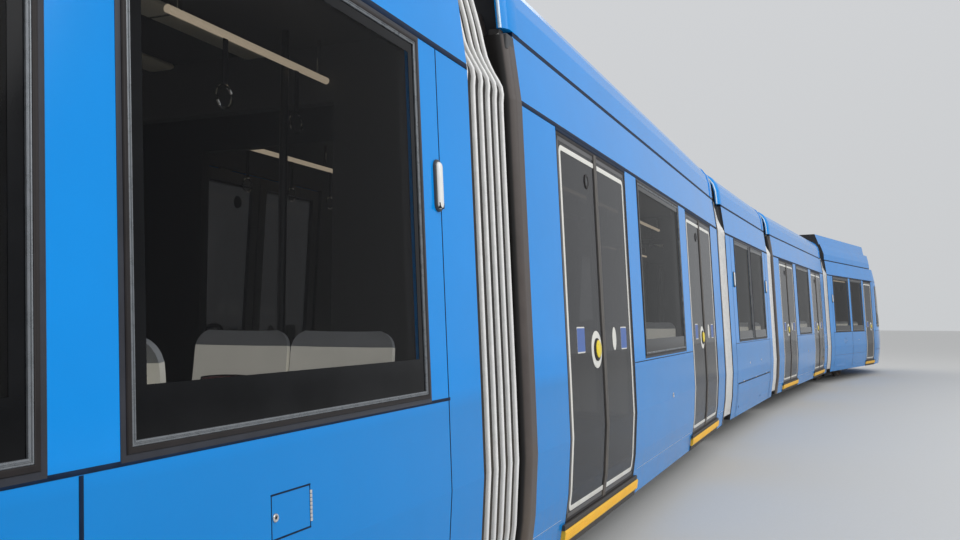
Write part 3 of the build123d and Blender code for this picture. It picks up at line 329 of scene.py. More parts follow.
def plain_paint(name):
    """The same blue lacquer for pieces that have no inside."""
    n = Nodes(name)
    cloud = n.noise(1.7, 4.0, 0.55)
    return n.finish(lacquer(n, cloud), n.ranged(cloud, 0.3, 0.7, 0.12, 0.17), n.noise(900.0, 1.0), 0.03,
                    0.0004, **LACQUER)


def glass(name, car):
    """Tinted pane; door leaves and cab panes differ by where they stand in the car."""
    n = Nodes(name)
    cloud = n.noise(0.9, 3.0)
    film = n.noise(5.0, 5.0, 0.7, stretch=(6.0, 6.0, 1.0))
    shade = n.mix(cloud, srgb(9, 10, 13), srgb(18, 18, 20))
    leaf_shade = n.mix(cloud, srgb(44, 45, 48), srgb(60, 60, 62))
    x = car_coords(n, car)[0]
    alpha, leaf_alpha, cab_alpha = 0.28, 0.8, 0.38
    if car in DOOR_CARS:
        leaf = n.ranged(n.math("ABSOLUTE", x), 1.0, 1.01)
    elif car in END_CARS:
        leaf = n.both(n.ranged(x, 3.7, 3.71), n.ranged(x, 4.76, 4.75))
    if car != "centre_car":
        shade = n.mix(leaf, shade, leaf_shade)
        in_cab = n.ranged(x, 4.79, 4.8, 0.0, cab_alpha - alpha) if car in END_CARS else 0.0
        alpha = n.math("ADD", n.ranged(leaf, 0.0, 1.0, alpha, leaf_alpha), in_cab)
    n.put(n.bsdf.inputs["Alpha"], alpha)
    return n.finish(shade, n.ranged(film, 0.3, 0.8, 0.02, 0.07), film, 0.01, 0.0005, Specular_IOR_Level=0.12)


def collar_rubber(car):
    """Brown-grey edge rubber with painted shade: nearly black on the faces across the gangway."""
    n = Nodes(car + "_collar_rubber")
    cloud = n.noise(7.0, 4.0, 0.6)
    shade = n.mix(cloud, srgb(66, 59, 56), srgb(88, 80, 76))
    low = n.ranged(n.axis(n.coords, 2), 1.0, 0.25, 0.0, 0.5)
    shade = n.mix(n.both(low, cloud), shade, srgb(132, 118, 98))
    # Painted shade: faces that look across the gangway are made nearly black.
    facing = n.ranged(n.facing(car), 0.75, 0.92, smooth=True)
    shade = n.mix(facing, shade, n.mix(cloud, srgb(20, 18, 18), srgb(32, 30, 29)))
    return n.finish(shade, n.ranged(cloud, 0.3, 0.7, 0.34, 0.48), n.noise(300.0, 2.0), 0.1, 0.0006,
                    Specular_IOR_Level=0.35)


def bellows_cloth():
    """Dark coated cloth with a fine weave, paler where dust sits in the folds."""
    n = Nodes("bellows_cloth")
    weave = n.node("TexWave", {"Vector": n.coords, "Scale": 320.0, "Distortion": 1.5}).outputs["Fac"]
    cloud = n.noise(5.0, 5.0, 0.6)
    shade = n.mix(n.ranged(cloud, 0.3, 0.7), srgb(44, 41, 39), srgb(66, 61, 57))
    low = n.ranged(n.axis(n.coords, 2), 1.2, 0.2, 0.0, 0.6)
    shade = n.mix(n.both(low, cloud), shade, srgb(128, 116, 98))
    return n.finish(shade, n.ranged(cloud, 0.3, 0.7, 0.6, 0.8), weave, 0.25, 0.0006, Sheen_Weight=0.15)


def moquette():
    """Red wool plush with a small two-tone weave."""
    n = Nodes("seat_moquette")
    check = n.node("TexVoronoi", {"Vector": n.coords, "Scale": 55.0}).outputs["Distance"]
    shade = n.mix(n.ranged(check, 0.35, 0.45), srgb(122, 20, 30), srgb(84, 14, 26))
    shade = n.mix(n.ranged(n.noise(4.0, 3.0), 0.4, 0.8, 0.0, 0.35), shade, srgb(150, 44, 48))
    return n.finish(shade, 0.85, n.noise(1500.0, 2.0), 0.5, 0.0012, Sheen_Weight=0.4)


def wheel_steel():
    """Forged steel, rusty on the disc and polished on the tread and flange."""
    n = Nodes("wheel_forged")
    rust = n.mix(n.ranged(n.noise(14.0, 5.0, 0.65), 0.35, 0.7), srgb(74, 62, 54), srgb(104, 78, 58))
    tread = n.ranged(n.math("ABSOLUTE", n.axis(n.normal, 1)), 0.5, 0.3)
    shade = n.mix(tread, rust, srgb(150, 148, 146))
    return n.finish(shade, n.ranged(tread, 0.0, 1.0, 0.62, 0.3), n.noise(120.0, 3.0), 0.2, 0.001, Metallic=0.6)


# Colour, roughness, cloud scale and spread, grain scale and strength
RUBBER = varied("rubber", (30, 25, 25), 0.46, 14, 0.2, 700, 0.15, Specular_IOR_Level=0.25)
BAND = varied("frame_band", (44, 46, 54), 0.4, 14, 0.15, 700, Specular_IOR_Level=0.3)
BEAD = varied("bead_steel", (120, 124, 128), 0.28, 30, 0.1, 900, 0.06, Metallic=0.5)
CHROME = varied("chrome", (214, 214, 212), 0.14, 30, 0.06, 900, 0.04, Metallic=1.0)
SEAM = varied("seam_shadow", (12, 34, 60), 0.5, 20, 0.2, 500, 0.1, Specular_IOR_Level=0.1)
FRIT = varied("frit", (7, 8, 11), 0.1, 5, 0.2, 500, 0.02, Specular_IOR_Level=0.12)
WHITE_LINE = varied("door_line", (226, 224, 216), 0.38, 12, 0.04, 400, 0.06, dust=0.5)
LEAF_GREY = varied("leaf_edge", (74, 73, 74), 0.36, 7, 0.1, 500, dust=0.45)
SEAL_GREY = varied("finger_guard", (84, 80, 76), 0.5, 10, 0.12, 500, 0.14, dust=0.4)
YELLOW = varied("step_yellow", (246, 190, 44), 0.5, 9, 0.06, 300, 0.2, wear=(170, 130, 60))
STEP_DARK = varied("step_rubber", (58, 54, 50), 0.62, 9, 0.14, 300, 0.2)
STICKER = varied("sticker_blue", (58, 96, 168), 0.35, 20, 0.05, 500, 0.03)
BUTTON_YELLOW = varied("button_yellow", (236, 210, 40), 0.3, 30, 0.05, 500, 0.03)
LENS_WHITE = varied("lamp_lens_white", (238, 238, 234), 0.16, 20, 0.03, 400, 0.05, Coat_Weight=0.5)
RIB = varied("bellows_rib", (236, 235, 232), 0.24, 24, 0.06, 260, 0.25, dust=0.45, wear=(110, 104, 98))
POLE = varied("pole_black", (26, 26, 27), 0.35, 20, 0.15, 500, 0.1)
SEAT_SHELL = varied("seat_plastic", (188, 190, 190), 0.4, 6, 0.05, 900, 0.12)
TRIM = varied("cab_trim", (46, 47, 50), 0.6, 10, 0.1, 900, 0.2)
SCREEN = varied("screen", (12, 16, 22), 0.08, 5, 0.1, 500, 0.01)
ROOF_GREY = varied("roof_case", (150, 153, 154), 0.45, 3, 0.08, 400, 0.1)
GRILLE = varied("grille", (62, 64, 66), 0.5, 8, 0.12, 400, 0.1)
BOGIE = varied("bogie_black", (44, 43, 43), 0.6, 9, 0.2, 220, 0.25, wear=(92, 66, 48))
STEEL = varied("pan_steel", (120, 120, 122), 0.4, 12, 0.1, 300, 0.1, Metallic=0.7)
CARBON = varied("carbon_strip", (40, 40, 42), 0.55, 20, 0.15, 300, 0.15)
INSULATOR = varied("insulator", (120, 52, 38), 0.25, 20, 0.08, 300, 0.04)
BLUE_PAINT = plain_paint("body_blue_trim")
LAMP_RED = varied("lamp_red", (168, 20, 18), 0.12, 20, 0.08, 400, 0.03)
AMBER = varied("lamp_amber", (226, 132, 22), 0.12, 20, 0.08, 400, 0.03)
# Pale blue-grey strip that is a painted highlight on an edge: the tips of the cowl lips and the thin lines low
# on the door cars.
PAINTED_HIGHLIGHT_EDGE = varied("painted_highlight_edge", (176, 196, 212), 0.3, 20, 0.08, 500, 0.05, Metallic=0.4)
# Seat plastic with a faint painted glow, though it is no lamp, so the seat shells show inside the dim car.
CREAM_GLOW = varied("cream_plastic_painted_glow", (244, 241, 228), 0.38, 6, 0.05, 900, 0.1,
               Emission_Color=(0.9, 0.88, 0.8, 1.0), Emission_Strength=0.22)
GREY_SHELL = varied("grey_plastic", (176, 180, 184), 0.42, 6, 0.06, 900, 0.12)
LIGHT_STRIP = varied("light_diffuser", (232, 226, 206), 0.5, 8, 0.03, 500, 0.05)
LIGHT_TUBE = varied("light_tube", (226, 208, 180), 0.4, 8, 0.03, 500, 0.04,
                    Emission_Color=(0.8, 0.66, 0.48, 1.0), Emission_Strength=0.55)
STRAP = varied("strap_webbing", (40, 40, 44), 0.8, 30, 0.2, 1400, 0.5)
GALVANISED = varied("galvanised", (168, 170, 172), 0.4, 26, 0.14, 200, 0.1, Metallic=0.5)
DISPLAY = varied("display_dark", (16, 16, 18), 0.1, 10, 0.1, 500, 0.02)
CLOTH = bellows_cloth()
MOQUETTE = moquette()
WHEEL = wheel_steel()


# ---- mesh building


class Shape:
    """Closed skins gathered in a car's own frame before they become one piece."""

    def __init__(self):
        self.verts = []
        self.faces = []
        self.slots = []

    def add(self, verts, faces, slot=0):
        start = len(self.verts)
        self.verts += [tuple(v) for v in verts]
        self.faces += [tuple(start + i for i in face) for face in faces]
        self.slots += [slot] * len(faces)

    def skin(self, rings, cyclic=False, slot=0):
        """Joins rings of equal length; ends are closed unless the last meets the first."""
        count, total = len(rings[0]), len(rings)
        faces = []
        for i in range(total if cyclic else total - 1):
            a, b = i * count, ((i + 1) % total) * count
            for k in range(count):
                m = (k + 1) % count
                faces.append((a + k, b + k, b + m, a + m))
        if not cyclic:
            faces.append(tuple(range(count)))
            faces.append(tuple(reversed(range((total - 1) * count, total * count))))
        self.add([v for ring in rings for v in ring], faces, slot)

    def block(self, low, high, bevel=0.004, slot=0):
        """Box with its upright and lying edges chamfered."""
        (x0, y0, z0), (x1, y1, z1) = low, high
        b = min(bevel, (x1 - x0) / 3, (y1 - y0) / 3, (z1 - z0) / 3)

        def ring(z, inset):
            c = b + inset
            x2, x3, y2, y3 = x0 + inset, x1 - inset, y0 + inset, y1 - inset
            return [vec(*p, z) for p in ((x0 + c, y2), (x1 - c, y2), (x3, y0 + c), (x3, y1 - c),
                                         (x1 - c, y3), (x0 + c, y3), (x2, y1 - c), (x2, y0 + c))]

        self.skin([ring(z0, b), ring(z0 + b, 0.0), ring(z1 - b, 0.0), ring(z1, b)], slot=slot)

    def tube(self, points, radius, sides=10, slot=0, closed=False):
        """Round bar through points."""
        rings = []
        count = len(points)
        for i, p in enumerate(points):
            before = points[(i - 1) % count] if closed or i else p
            after = points[(i + 1) % count] if closed or i < count - 1 else p
            way = (after - before).normalized()
            across = way.cross(vec(0, 0, 1))
            if across.length < 0.1:
                across = way.cross(vec(1, 0, 0))
            across.normalize()
            up = across.cross(way)
            rings.append([p + radius * (c * across + s * up) for c, s in circle(sides)])
        self.skin(rings, closed, slot)

    def join(self, other):
        """Adds another shape's skins with their own slots."""
        start = len(self.verts)
        self.verts += other.verts
        self.faces += [tuple(start + i for i in face) for face in other.faces]
        self.slots += other.slots

    def mirrored(self):
        """Adds the mirror image across the car's middle."""
        count = len(self.verts)
        self.verts += [(x, -y, z) for x, y, z in self.verts]
        self.faces += [tuple(count + i for i in reversed(face)) for face in self.faces]
        self.slots += list(self.slots)
        return self


def emit(name, shape, mats, matrix=Matrix.Identity(4), body=None, angle=38):
    """Makes the piece, outward faces and smooth shading by angle, riding on its body."""
    mesh = bpy.data.meshes.new(name)
    mesh.from_pydata(shape.verts, [], shape.faces)
    for material in mats:
        mesh.materials.append(material)
    mesh.polygons.foreach_set("material_index", shape.slots)
    mesh.transform(matrix)
    mesh.update()
    made = bpy.data.objects.new(name, mesh)
    bpy.context.scene.collection.objects.link(made)
    work = bmesh.new()
    work.from_mesh(mesh)
    bmesh.ops.recalc_face_normals(work, faces=work.faces)
    work.to_mesh(mesh)
    work.free()
    mesh.polygons.foreach_set("use_smooth", [True] * len(mesh.polygons))
    mesh.set_sharp_from_angle(angle=radians(angle))
    if body:
        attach(made, body)
    return made


def fit(car, part, shape, mats, angle=38):
    """Piece built in a car's own frame that rides on the car."""
    return emit(f"{car}_{part}", shape, mats, placement(*CARS[car]), car, angle)


def between(a, b, step):
    """Evenly spaced values strictly between two others."""
    count = max(1, round(abs(b - a) / step)) if step else 1
    return [a + (b - a) * k / count for k in range(1, count)]


def rounded_path(x0, x1, z0, z1, radius, corner=6, breaks=(), step=None):
    """Points round a rectangle with outward directions; a radius of 0 gives mitred corners."""
    points = []
    corners = [(x1 - radius, z0 + radius, -90), (x1 - radius, z1 - radius, 0),
               (x0 + radius, z1 - radius, 90), (x0 + radius, z0 + radius, 180)]
    for index, (cx, cz, start) in enumerate(corners):
        if radius:
            for k in range(corner + 1):
                t = radians(start + 90 * k / corner)
                points.append((cx + radius * cos(t), cz + radius * sin(t), cos(t), sin(t)))
        else:
            t = radians(start + 45)
            points.append((cx, cz, copysign(1, cos(t)), copysign(1, sin(t))))
        way = 1.0 if index < 2 else -1.0
        if index % 2 == 0:
            levels = sorted({z for z in breaks if z0 + radius < z < z1 - radius}
                            | set(between(z0 + radius, z1 - radius, step)), reverse=index == 2)
            points += [(x1 if index == 0 else x0, z, way, 0.0) for z in levels]
        elif step:
            ahead = corners[(index + 1) % 4][0]
            points += [(x, z1 if index == 1 else z0, 0.0, way) for x in between(cx, ahead, step)]
    return points


BREAKS = [z for z, _ in SIDE]


def frame_loop(shape, rect, radius, profile, surface=on_side, slot=0, step=None):
    """Sweeps a profile of (outward offset, height) round a rounded rectangle."""
    path = rounded_path(*rect, radius, breaks=BREAKS, step=step)
    rings = [[surface(x + u * dx, z + u * dz, out) for u, out in profile] for x, z, dx, dz in path]
    shape.skin(rings, cyclic=True, slot=slot)


def bar_along(shape, x0, x1, z, profile, surface=on_side, slot=0, steps=1):
    """Strip along the car; profile is (rise, height)."""
    xs = [x0 + (x1 - x0) * k / steps for k in range(steps + 1)]
    shape.skin([[surface(x, z + dz, out) for dz, out in profile] for x in xs], slot=slot)


def bar_up(shape, x, z0, z1, profile, slot=0):
    """Strip up the side; profile is (distance along, height)."""
    levels = [z0] + [z for z in BREAKS if z0 < z < z1] + [z1]
    shape.skin([[on_side(x + dx, z, out) for dx, out in profile] for z in levels], slot=slot)


def turned(shape, x, z, profile, surface=on_side, slot=0, sides=24, stretch=1.0):
    """Round or oval fitting standing on the side; profile is (radius, height)."""
    shape.skin([[surface(x + radius * c, z + stretch * radius * s, out) for c, s in circle(sides)]
                for radius, out in profile], slot=slot)


def hump(width, height):
    """Profile of a low strip: flat top with chamfered edges."""
    w, c = width / 2, min(width / 2, height) * 0.3
    return [(-w, -0.002), (-w, height - c), (-w + c, height), (w - c, height), (w, height - c), (w, -0.002)]


def round_bead(width, height, base=-0.002):
    """Profile of a half-round strip."""
    w = width / 2
    arc = [(-w * cos(pi * k / 5), height * sin(pi * k / 5)) for k in range(6)]
    return [(-w, base)] + [(u, max(base + 0.001, v)) for u, v in arc] + [(w, base)]


# ---- windows, seams and doors

SEAM_LINE = hump(0.005, 0.0012)
GAP_LINE = hump(0.024, 0.0025)
PANEL_LINE = hump(0.003, 0.0008)
# Profiles and material slots: flat band, bevelled rubber, grooved bright bead, the pane's black edge
WINDOW_PROFILES = (
    (mm(4, -4, 4, 1.1, 3, 1.5, -12, 1.5, -12, -4), 3),
    (mm(-11.5, -4, -11.5, 3, -14, 5.2, -22, 5.6, -25.5, 4, -26.5, 1, -26.5, -4), 0),
    (mm(-26, -3.5, -26.2, 3.2, -28, 4.4, -30, 4, -31.2, 1.6, -33, 1.4, -34.2, 3.4, -36.2, 3.6, -38, 2.2,
        -38.5, -3.5), 1),
    (mm(-38, -3.5, -38, -2, -75, -2, -75, -3.5), 2),
)


def window_frame(shape, rect, surface=on_side, step=None, frit=0.13):
    """Frame with mitred corners, and the darker foot of the pane as high as frit says."""
    for profile, slot in WINDOW_PROFILES:
        frame_loop(shape, rect, 0, profile, surface, slot, step)
    if frit:
        bar_along(shape, rect[0] + 0.04, rect[1] - 0.04, rect[2],
                  [(0.04, -0.0034), (0.04, -0.0019), (frit, -0.0019), (frit, -0.0034)], surface, 2)


def long_seams(shape, reach, doors=()):
    """Dark lines at the cantrail, over the doors and in the joint under the roof cowl."""
    bar_along(shape, *reach, GUTTER, GAP_LINE)
    for door in doors:
        bar_along(shape, *door, 2.433, hump(0.02, 0.0022))
    bar_along(shape, *reach, 2.791, mm(-13.5, -48, -13.5, 0.6, 12, -2, 12, -48))


def end_car_side():
    """Trim of an end car's straight sides in its own frame."""
    frames, seams, fittings = Shape(), Shape(), Shape()
    for x0, x1 in END_WINDOWS:
        window_frame(frames, (x0, x1 + 0.004, 1.135, WINDOW_Z[1]), frit=0.15)
    long_seams(seams, (0.335, 4.775), SINGLE_DOORS)
    for x0, x1, z, line in ((0.63, 3.79, BELT, hump(0.011, 0.0015)), (0.34, 0.63, 0.385, PANEL_LINE),
                            (0.65, 3.7, 0.6, hump(0.004, 0.001))):
        bar_along(seams, x0, x1, z, line)
    bar_up(seams, 2.338, SKIRT, 1.124, hump(0.011, 0.0014))
    for x in (0.64, 3.715, 4.725):
        bar_up(seams, x, SKIRT, CANTRAIL, SEAM_LINE)
    left, right, foot, top = 1.562, 1.736, 0.866, 0.978
    for z in (foot, top):
        bar_along(seams, left - 0.002, right + 0.002, z, hump(0.0045, 0.0012))
    for x in (left, right):
        bar_up(seams, x, foot, top, hump(0.003, 0.0009))
    for k in range(8):
        z = 0.881 + 0.0105 * k
        bar_up(fittings, left - 0.004, z, z + 0.009, round_bead(0.01, 0.0045))
    for x in (1.721, 2.94):
        lock(fittings, x, 0.921, 0.0115)
    side_lamp(fittings, 0.668)
    return frames, seams, fittings


def lock(shape, x, z, radius):
    """Round lock: ring with a square-cut bolt head in it."""
    ring = ((1, -0.002), (1, 0.0025), (0.86, 0.0045), (0.62, 0.0048), (0.5, 0.0022))
    bolt = ((0.42, 0.0018), (0.4, 0.0034), (0.2, 0.0038))
    for line, slot, sides in ((ring, 0, 24), (bolt, 1, 6)):
        turned(shape, x, z, [(radius * k, out) for k, out in line], slot=slot, sides=sides)


def side_lamp(shape, x, z0=1.818, z1=2.013):
    """Upright marker lamp: grey housing, white lens between two bright beads, dark foot."""
    width = 0.03
    middle, rise = (z0 + z1) / 2, (z1 - z0) / 2 - width

    def ring(scale, out):
        return [on_side(x + width * scale * c, middle + copysign(rise, s) + width * scale * s, out)
                for c, s in circle(28)]

    for line, slot in ((((1.0, -0.002), (1.0, 0.006), (0.93, 0.01), (0.8, 0.012), (0.74, 0.008)), 5),
                       (((0.72, 0.004), (0.7, 0.013), (0.56, 0.0185), (0.28, 0.021)), 2)):
        shape.skin([ring(*pair) for pair in line], slot=slot)
    for dx in (-0.0185, 0.0185):
        bar_up(shape, x + dx, z0 + 0.03, z1 - 0.03, round_bead(0.006, 0.0155), slot=0)
    foot = mm(-16, 0, 16, 0, 19, 20, -19, 20)
    shape.skin([[on_side(x + u, z0 + 0.012 + v, out) for u, v in foot] for out in (0.004, 0.019)], slot=1)


# Rise and height profiles of the step: sill cover, yellow tread, dark lip, ridge on the tread
SILL = mm(-32, -10, -32, 15, -28, 16.8, 2, 16.8, 7, 12, 7, -70, -4, -70, -4, -10)
TREAD = mm(-68, -4, -68, 12, -61, 21.5, -52, 23.5, -9, 23.5, 0, 19, 0, -4)
LIP = mm(-43, -6, -43, 4, -38, 8, 2, 10, 2, -6)
RIDGE = mm(-2.2, 22, -1.4, 25.2, 1.4, 25.2, 2.2, 22)
BUTTON_Z = 1.248
# Distance from the doorway's middle and height of the stickers on double and single doors
DOUBLE_STICKERS, SINGLE_STICKERS = ((-0.465, 1.309), (0.505, 1.303)), ((-0.18, 1.305),)
# Reach behind and ahead of the doorway, height, profile, material slot
STEP_EDGES = [(0.045, 0.045, 0.366, SILL, 1), (0.045, 0.06, 0.345, TREAD, 0), (0.05, 0.065, 0.279, LIP, 1)]
STEP_EDGES += [(0.03, 0.045, 0.331 - 0.0115 * k, RIDGE, 0) for k in range(4)]


def door_set(doors, double):
    """Outline, seals, guards, buttons, blank stickers and step edges of the doors."""
    lines, seals, fittings, steps = Shape(), Shape(), Shape(), Shape()
    for x0, x1 in doors:
        middle = (x0 + x1) / 2
        rect = (x0 + 0.008, x1 - 0.008, DOOR_Z[0] + 0.01, DOOR_Z[1] - 0.01)
        frame_loop(seals, rect, 0.02, mm(-16, -12, -16, -4, -8, -1, 4, 0, 9, -3, 9, -12), slot=0)
        frame_loop(seals, rect, 0.02, mm(-4, -6.2, -4, -5, -40, -5, -40, -6.2), slot=1)
        frame_loop(lines, (x0 + 0.055, x1 - 0.055, 0.42, 2.36), 0.045,
                   mm(0, -6.2, 0, -4.8, -2, -4.4, -26, -4.4, -28, -4.8, -28, -6.2))
        leaf_button(fittings, middle + (-0.16 if double else 0.16), BUTTON_Z)
        if double:
            for dx in (-0.0145, 0.0145):
                bar_up(seals, middle + dx, 0.38, 2.415, round_bead(0.026, 0.0035, -0.012), slot=2)
            small_marks(fittings, middle)
        for dx, z in DOUBLE_STICKERS if double else SINGLE_STICKERS:
            sticker(fittings, middle + dx, z)
        for back, ahead, z, line, slot in STEP_EDGES:
            bar_along(steps, x0 - back, x1 + ahead, z, line, slot=slot)
    return lines, seals, fittings, steps


def leaf_button(shape, x, z):
    """Push button: white disc, dark ring and yellow domed cap."""
    turned(shape, x, z, mm(108, -6.2, 108, -3.2, 104, -2, 60, -2), slot=3, sides=40)
    turned(shape, x, z, mm(66, -4, 66, 3, 61, 6, 50, 6), slot=1, sides=32)
    turned(shape, x + 0.004, z + 0.004, mm(51, 2, 51, 9, 44, 13, 20, 15), slot=4, sides=32)


def small_marks(shape, middle):
    """White oval disc on one leaf; bold dark ring round a grey middle over the other."""
    turned(shape, middle + 0.263, 1.303, mm(46, -6.2, 46, -4.2, 42, -3.6), slot=3, stretch=1.56)
    x, z = middle - 0.195, 2.228
    turned(shape, x, z, mm(43, -6.2, 43, -2, 37, 0, 28, -1.5, 27, -5.5), slot=1)
    turned(shape, x, z, mm(27.5, -6.2, 27.5, -4, 16, -3.2), slot=5)


# Half width, half height, corner radius, offset from the side, material slot of a sticker's layers
STICKER_LAYERS = ((0.074, 0.072, 0.01, -0.005, 3), (0.073, 0.065, 0.006, -0.0045, 6))


def sticker(shape, x, z):
    """Blank blue sticker with a thin white border at its top and foot."""
    for half, tall, radius, out, slot in STICKER_LAYERS:
        path = rounded_path(x - half, x + half, z - tall, z + tall, radius, corner=3)
        shape.skin([[on_side(px, pz, o) for px, pz, _, _ in path] for o in (out - 0.001, out)], slot=slot)


def door_car_side():
    """Trim of a door car's sides, its doors apart."""
    frames, seams, fittings = Shape(), Shape(), Shape()
    for window in DOOR_WINDOWS:
        window_frame(frames, (*window, *WINDOW_Z))
    long_seams(seams, (-3.19, 3.19), DOUBLE_DOORS)
    bar_along(seams, -1.15, 1.15, BELT, hump(0.006, 0.0012))
    # The lines at the foot of the lower panels use the painted highlight strip.
    for x0, x1 in ((-1.08, 1.08), (-3.19, -2.76), (2.76, 3.19)):
        bar_along(seams, x0, x1, 0.408, PANEL_LINE, slot=1)
    lock(fittings, 0.119, 0.816, 0.022)
    return frames, seams, fittings


def centre_car_side():
    """Trim of the centre car's sides with the hinged panel over its bogie."""
    frames, seams, fittings = Shape(), Shape(), Shape()
    for window in CENTRE_WINDOWS:
        window_frame(frames, (*window, *WINDOW_Z))
    bar_along(frames, -0.056, 0.056, WINDOW_Z[0], mm(0, -3, 0, 0.9, 1290, 0.9, 1290, -3), slot=3)
    long_seams(seams, (-1.765, 1.765))
    bar_along(seams, -1.47, 1.47, BELT, hump(0.006, 0.0012))
    for x in (-1.47, 1.47):
        bar_up(seams, x, SKIRT, CANTRAIL, SEAM_LINE)
        side_lamp(fittings, x - copysign(0.1, x))
    bar_along(seams, -1.4, 1.4, PANEL_TOP, hump(0.016, 0.0016))
    for x in (-1.4, 1.4):
        bar_up(seams, x, SKIRT, PANEL_TOP, SEAM_LINE)
    for x in (-0.5, 0.5):
        lock(fittings, x, 0.86, 0.014)
    for x in (-1.0, 0.0, 1.0):
        bar_along(fittings, x - 0.05, x + 0.05, 0.652, round_bead(0.014, 0.006))
    return frames, seams, fittings


for car in CARS:
    doors = None
    if car in END_CARS:
        frames, seams, fittings = end_car_side()
        doors = door_set(SINGLE_DOORS, False)
    elif car in DOOR_CARS:
        frames, seams, fittings = door_car_side()
        doors = door_set(DOUBLE_DOORS, True)
    else:
        frames, seams, fittings = centre_car_side()
    fit(car, "window_frames", frames.mirrored(), [RUBBER, BEAD, FRIT, BAND])
    fit(car, "panel_seams", seams.mirrored(), [SEAM, PAINTED_HIGHLIGHT_EDGE], 60)
    if doors:
        lines, seals, buttons, steps = doors
        fittings.join(buttons)
        fit(car, "door_outlines", lines.mirrored(), [WHITE_LINE], 60)
        fit(car, "door_seals", seals.mirrored(), [RUBBER, LEAF_GREY, SEAL_GREY])
        fit(car, "step_edges", steps.mirrored(), [YELLOW, STEP_DARK])
    fit(car, "side_fittings", fittings.mirrored(),
        [CHROME, RUBBER, LENS_WHITE, WHITE_LINE, BUTTON_YELLOW, GRILLE, STICKER])


# ---- bellows

# Height and inset of the bellows' outline: a little in from the side, then in over the cantrail
BELLOWS = [(z, HALF - side_y(z) + 0.012)
           for z in (0.31, 0.42, 0.52, 0.66, 0.8, 0.96, 1.13, 1.5, 1.9, 2.2, 2.34)]
BELLOWS += mm(2400, 88.5, 2440, 86, 2475, 92, 2510, 110, 2540, 128, 2580, 148, 2623, 166,
              2680, 181, 2747, 196, 2820, 216, 2899, 239, 2945, 262, 2970, 300, 2980, 350)
RIB_FIRST, RIB_PITCH, RIB_COUNT, RIB_LAND = -0.315, 0.0842, 6, 0.009
# Share of the way from one rib to the next, and depth of the cloth there
FOLD = ((0.26, 0.038), (0.38, 0.05), (0.5, 0.054), (0.62, 0.05), (0.74, 0.038))
BELLOWS_START, BELLOWS_END = -0.33, 0.17
# Station and depth of a rib's round bead
RIB_BEAD = mm(-9.2, 18, -10.4, 6, -9.6, 1.5, -6.8, -2, -2.5, -3.6,
              2.5, -3.6, 6.8, -2, 9.6, 1.5, 10.4, 6, 9.2, 18)


def arch():
    """Outline points of the bellows with outward directions, from one foot over to the other."""
    half = [vec(HALF - inset, z) for z, inset in BELLOWS] + [vec(y, 2.982) for y in (0.8, 0.6, 0.4, 0.2)]
    full = half + [vec(0.0, 2.983)] + [vec(-p.x, p.y) for p in reversed(half)]
    result = []
    for i, p in enumerate(full):
        way = (full[min(i + 1, len(full) - 1)] - full[max(i - 1, 0)]).normalized()
        result.append((p, vec(way.y, -way.x)))
    return result


ARCH = arch()


def bellows_stations():
    """Rib stations and the (station, depth) line of the cloth from the bogie car's wall to the collar."""
    ribs = [RIB_FIRST + RIB_PITCH * k for k in range(RIB_COUNT)]
    cloth = [(BELLOWS_START + 0.001, 0.03)]
    for s, ahead in zip(ribs, ribs[1:] + [BELLOWS_END + 0.012]):
        cloth += [(s - RIB_LAND, 0.012), (s, 0.006), (s + RIB_LAND, 0.012)]
        cloth += [(s + (ahead - s) * share, depth) for share, depth in FOLD]
    cloth[-1] = (BELLOWS_END - 0.001, 0.052)
    return ribs, cloth


def bent(bend, line):
    """Rings of a (station, depth) line over the arch, which turns evenly from one car to the other."""
    rings = []
    for p, n in ARCH:
        rings.append([])
        for s, d in line:
            turn = radians(bend * (0.5 - (s - BELLOWS_START) / (BELLOWS_END - BELLOWS_START)))
            y, z = p - n * d
            rings[-1].append(vec(s * cos(turn) - y * sin(turn), s * sin(turn) + y * cos(turn), z))
    return rings


def bellows_piece(index, point, heading, bend):
    ribs, cloth = bellows_stations()
    folds, silver = Shape(), Shape()
    folds.skin(bent(bend, cloth + [(s, d + 0.004) for s, d in reversed(cloth)]))
    for s0 in ribs:
        silver.skin(bent(bend, [(s0 + u, d) for u, d in RIB_BEAD]))
    matrix = placement(point, heading)
    start, end = (matrix @ vec(s, 0, 1.5) for s in (BELLOWS_START, BELLOWS_END))
    made = emit(f"bellows_{index}_folds", folds, [CLOTH], matrix)
    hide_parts(f"bellows_{index}")
    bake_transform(made)
    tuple(start)
    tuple(end)
    made = emit(f"bellows_{index}_ribs", silver, [RIB], matrix)
    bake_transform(made)
    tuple(start)
    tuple(end)


bellows_piece(1, PIVOT_1, (HEAD_A + HEAD_B) / 2, BENDS[0])
bellows_piece(2, PIVOT_2, HEAD_B / 2 + 180, -BENDS[1])
bellows_piece(3, PIVOT_3, HEAD_D / 2, BENDS[2])
bellows_piece(4, PIVOT_4, (HEAD_D + HEAD_E) / 2 + 180, -BENDS[3])


def post_brackets():
    """Grey saddles on the tops of a door car's edge posts, and the plates under the cowl's lips."""
    shape = Shape()
    end = DOOR_PITCH / 2 - GAP / 2
    y = side_y(2.73)
    for way in (-1, 1):
        x0, x1 = sorted((way * (end + 0.01), way * (end + 0.098)))
        shape.block((x0, y - 0.112, 2.69), (x1, y + 0.0052, 2.768), 0.006, 0)
        shape.block((x0 + 0.02, y - 0.1, 2.764), (x1 - 0.02, y - 0.04, 2.8), 0.004, 1)
        for x in (x0 + 0.024, x0 + 0.064):
            shape.block((x - 0.007, y - 0.06, 2.766), (x + 0.007, y - 0.044, 2.776), 0.003, 2)
    return shape.mirrored()


for car in DOOR_CARS:
    fit(car, "post_brackets", post_brackets(), [GRILLE, BOGIE, CHROME])


# ---- roof edge lips

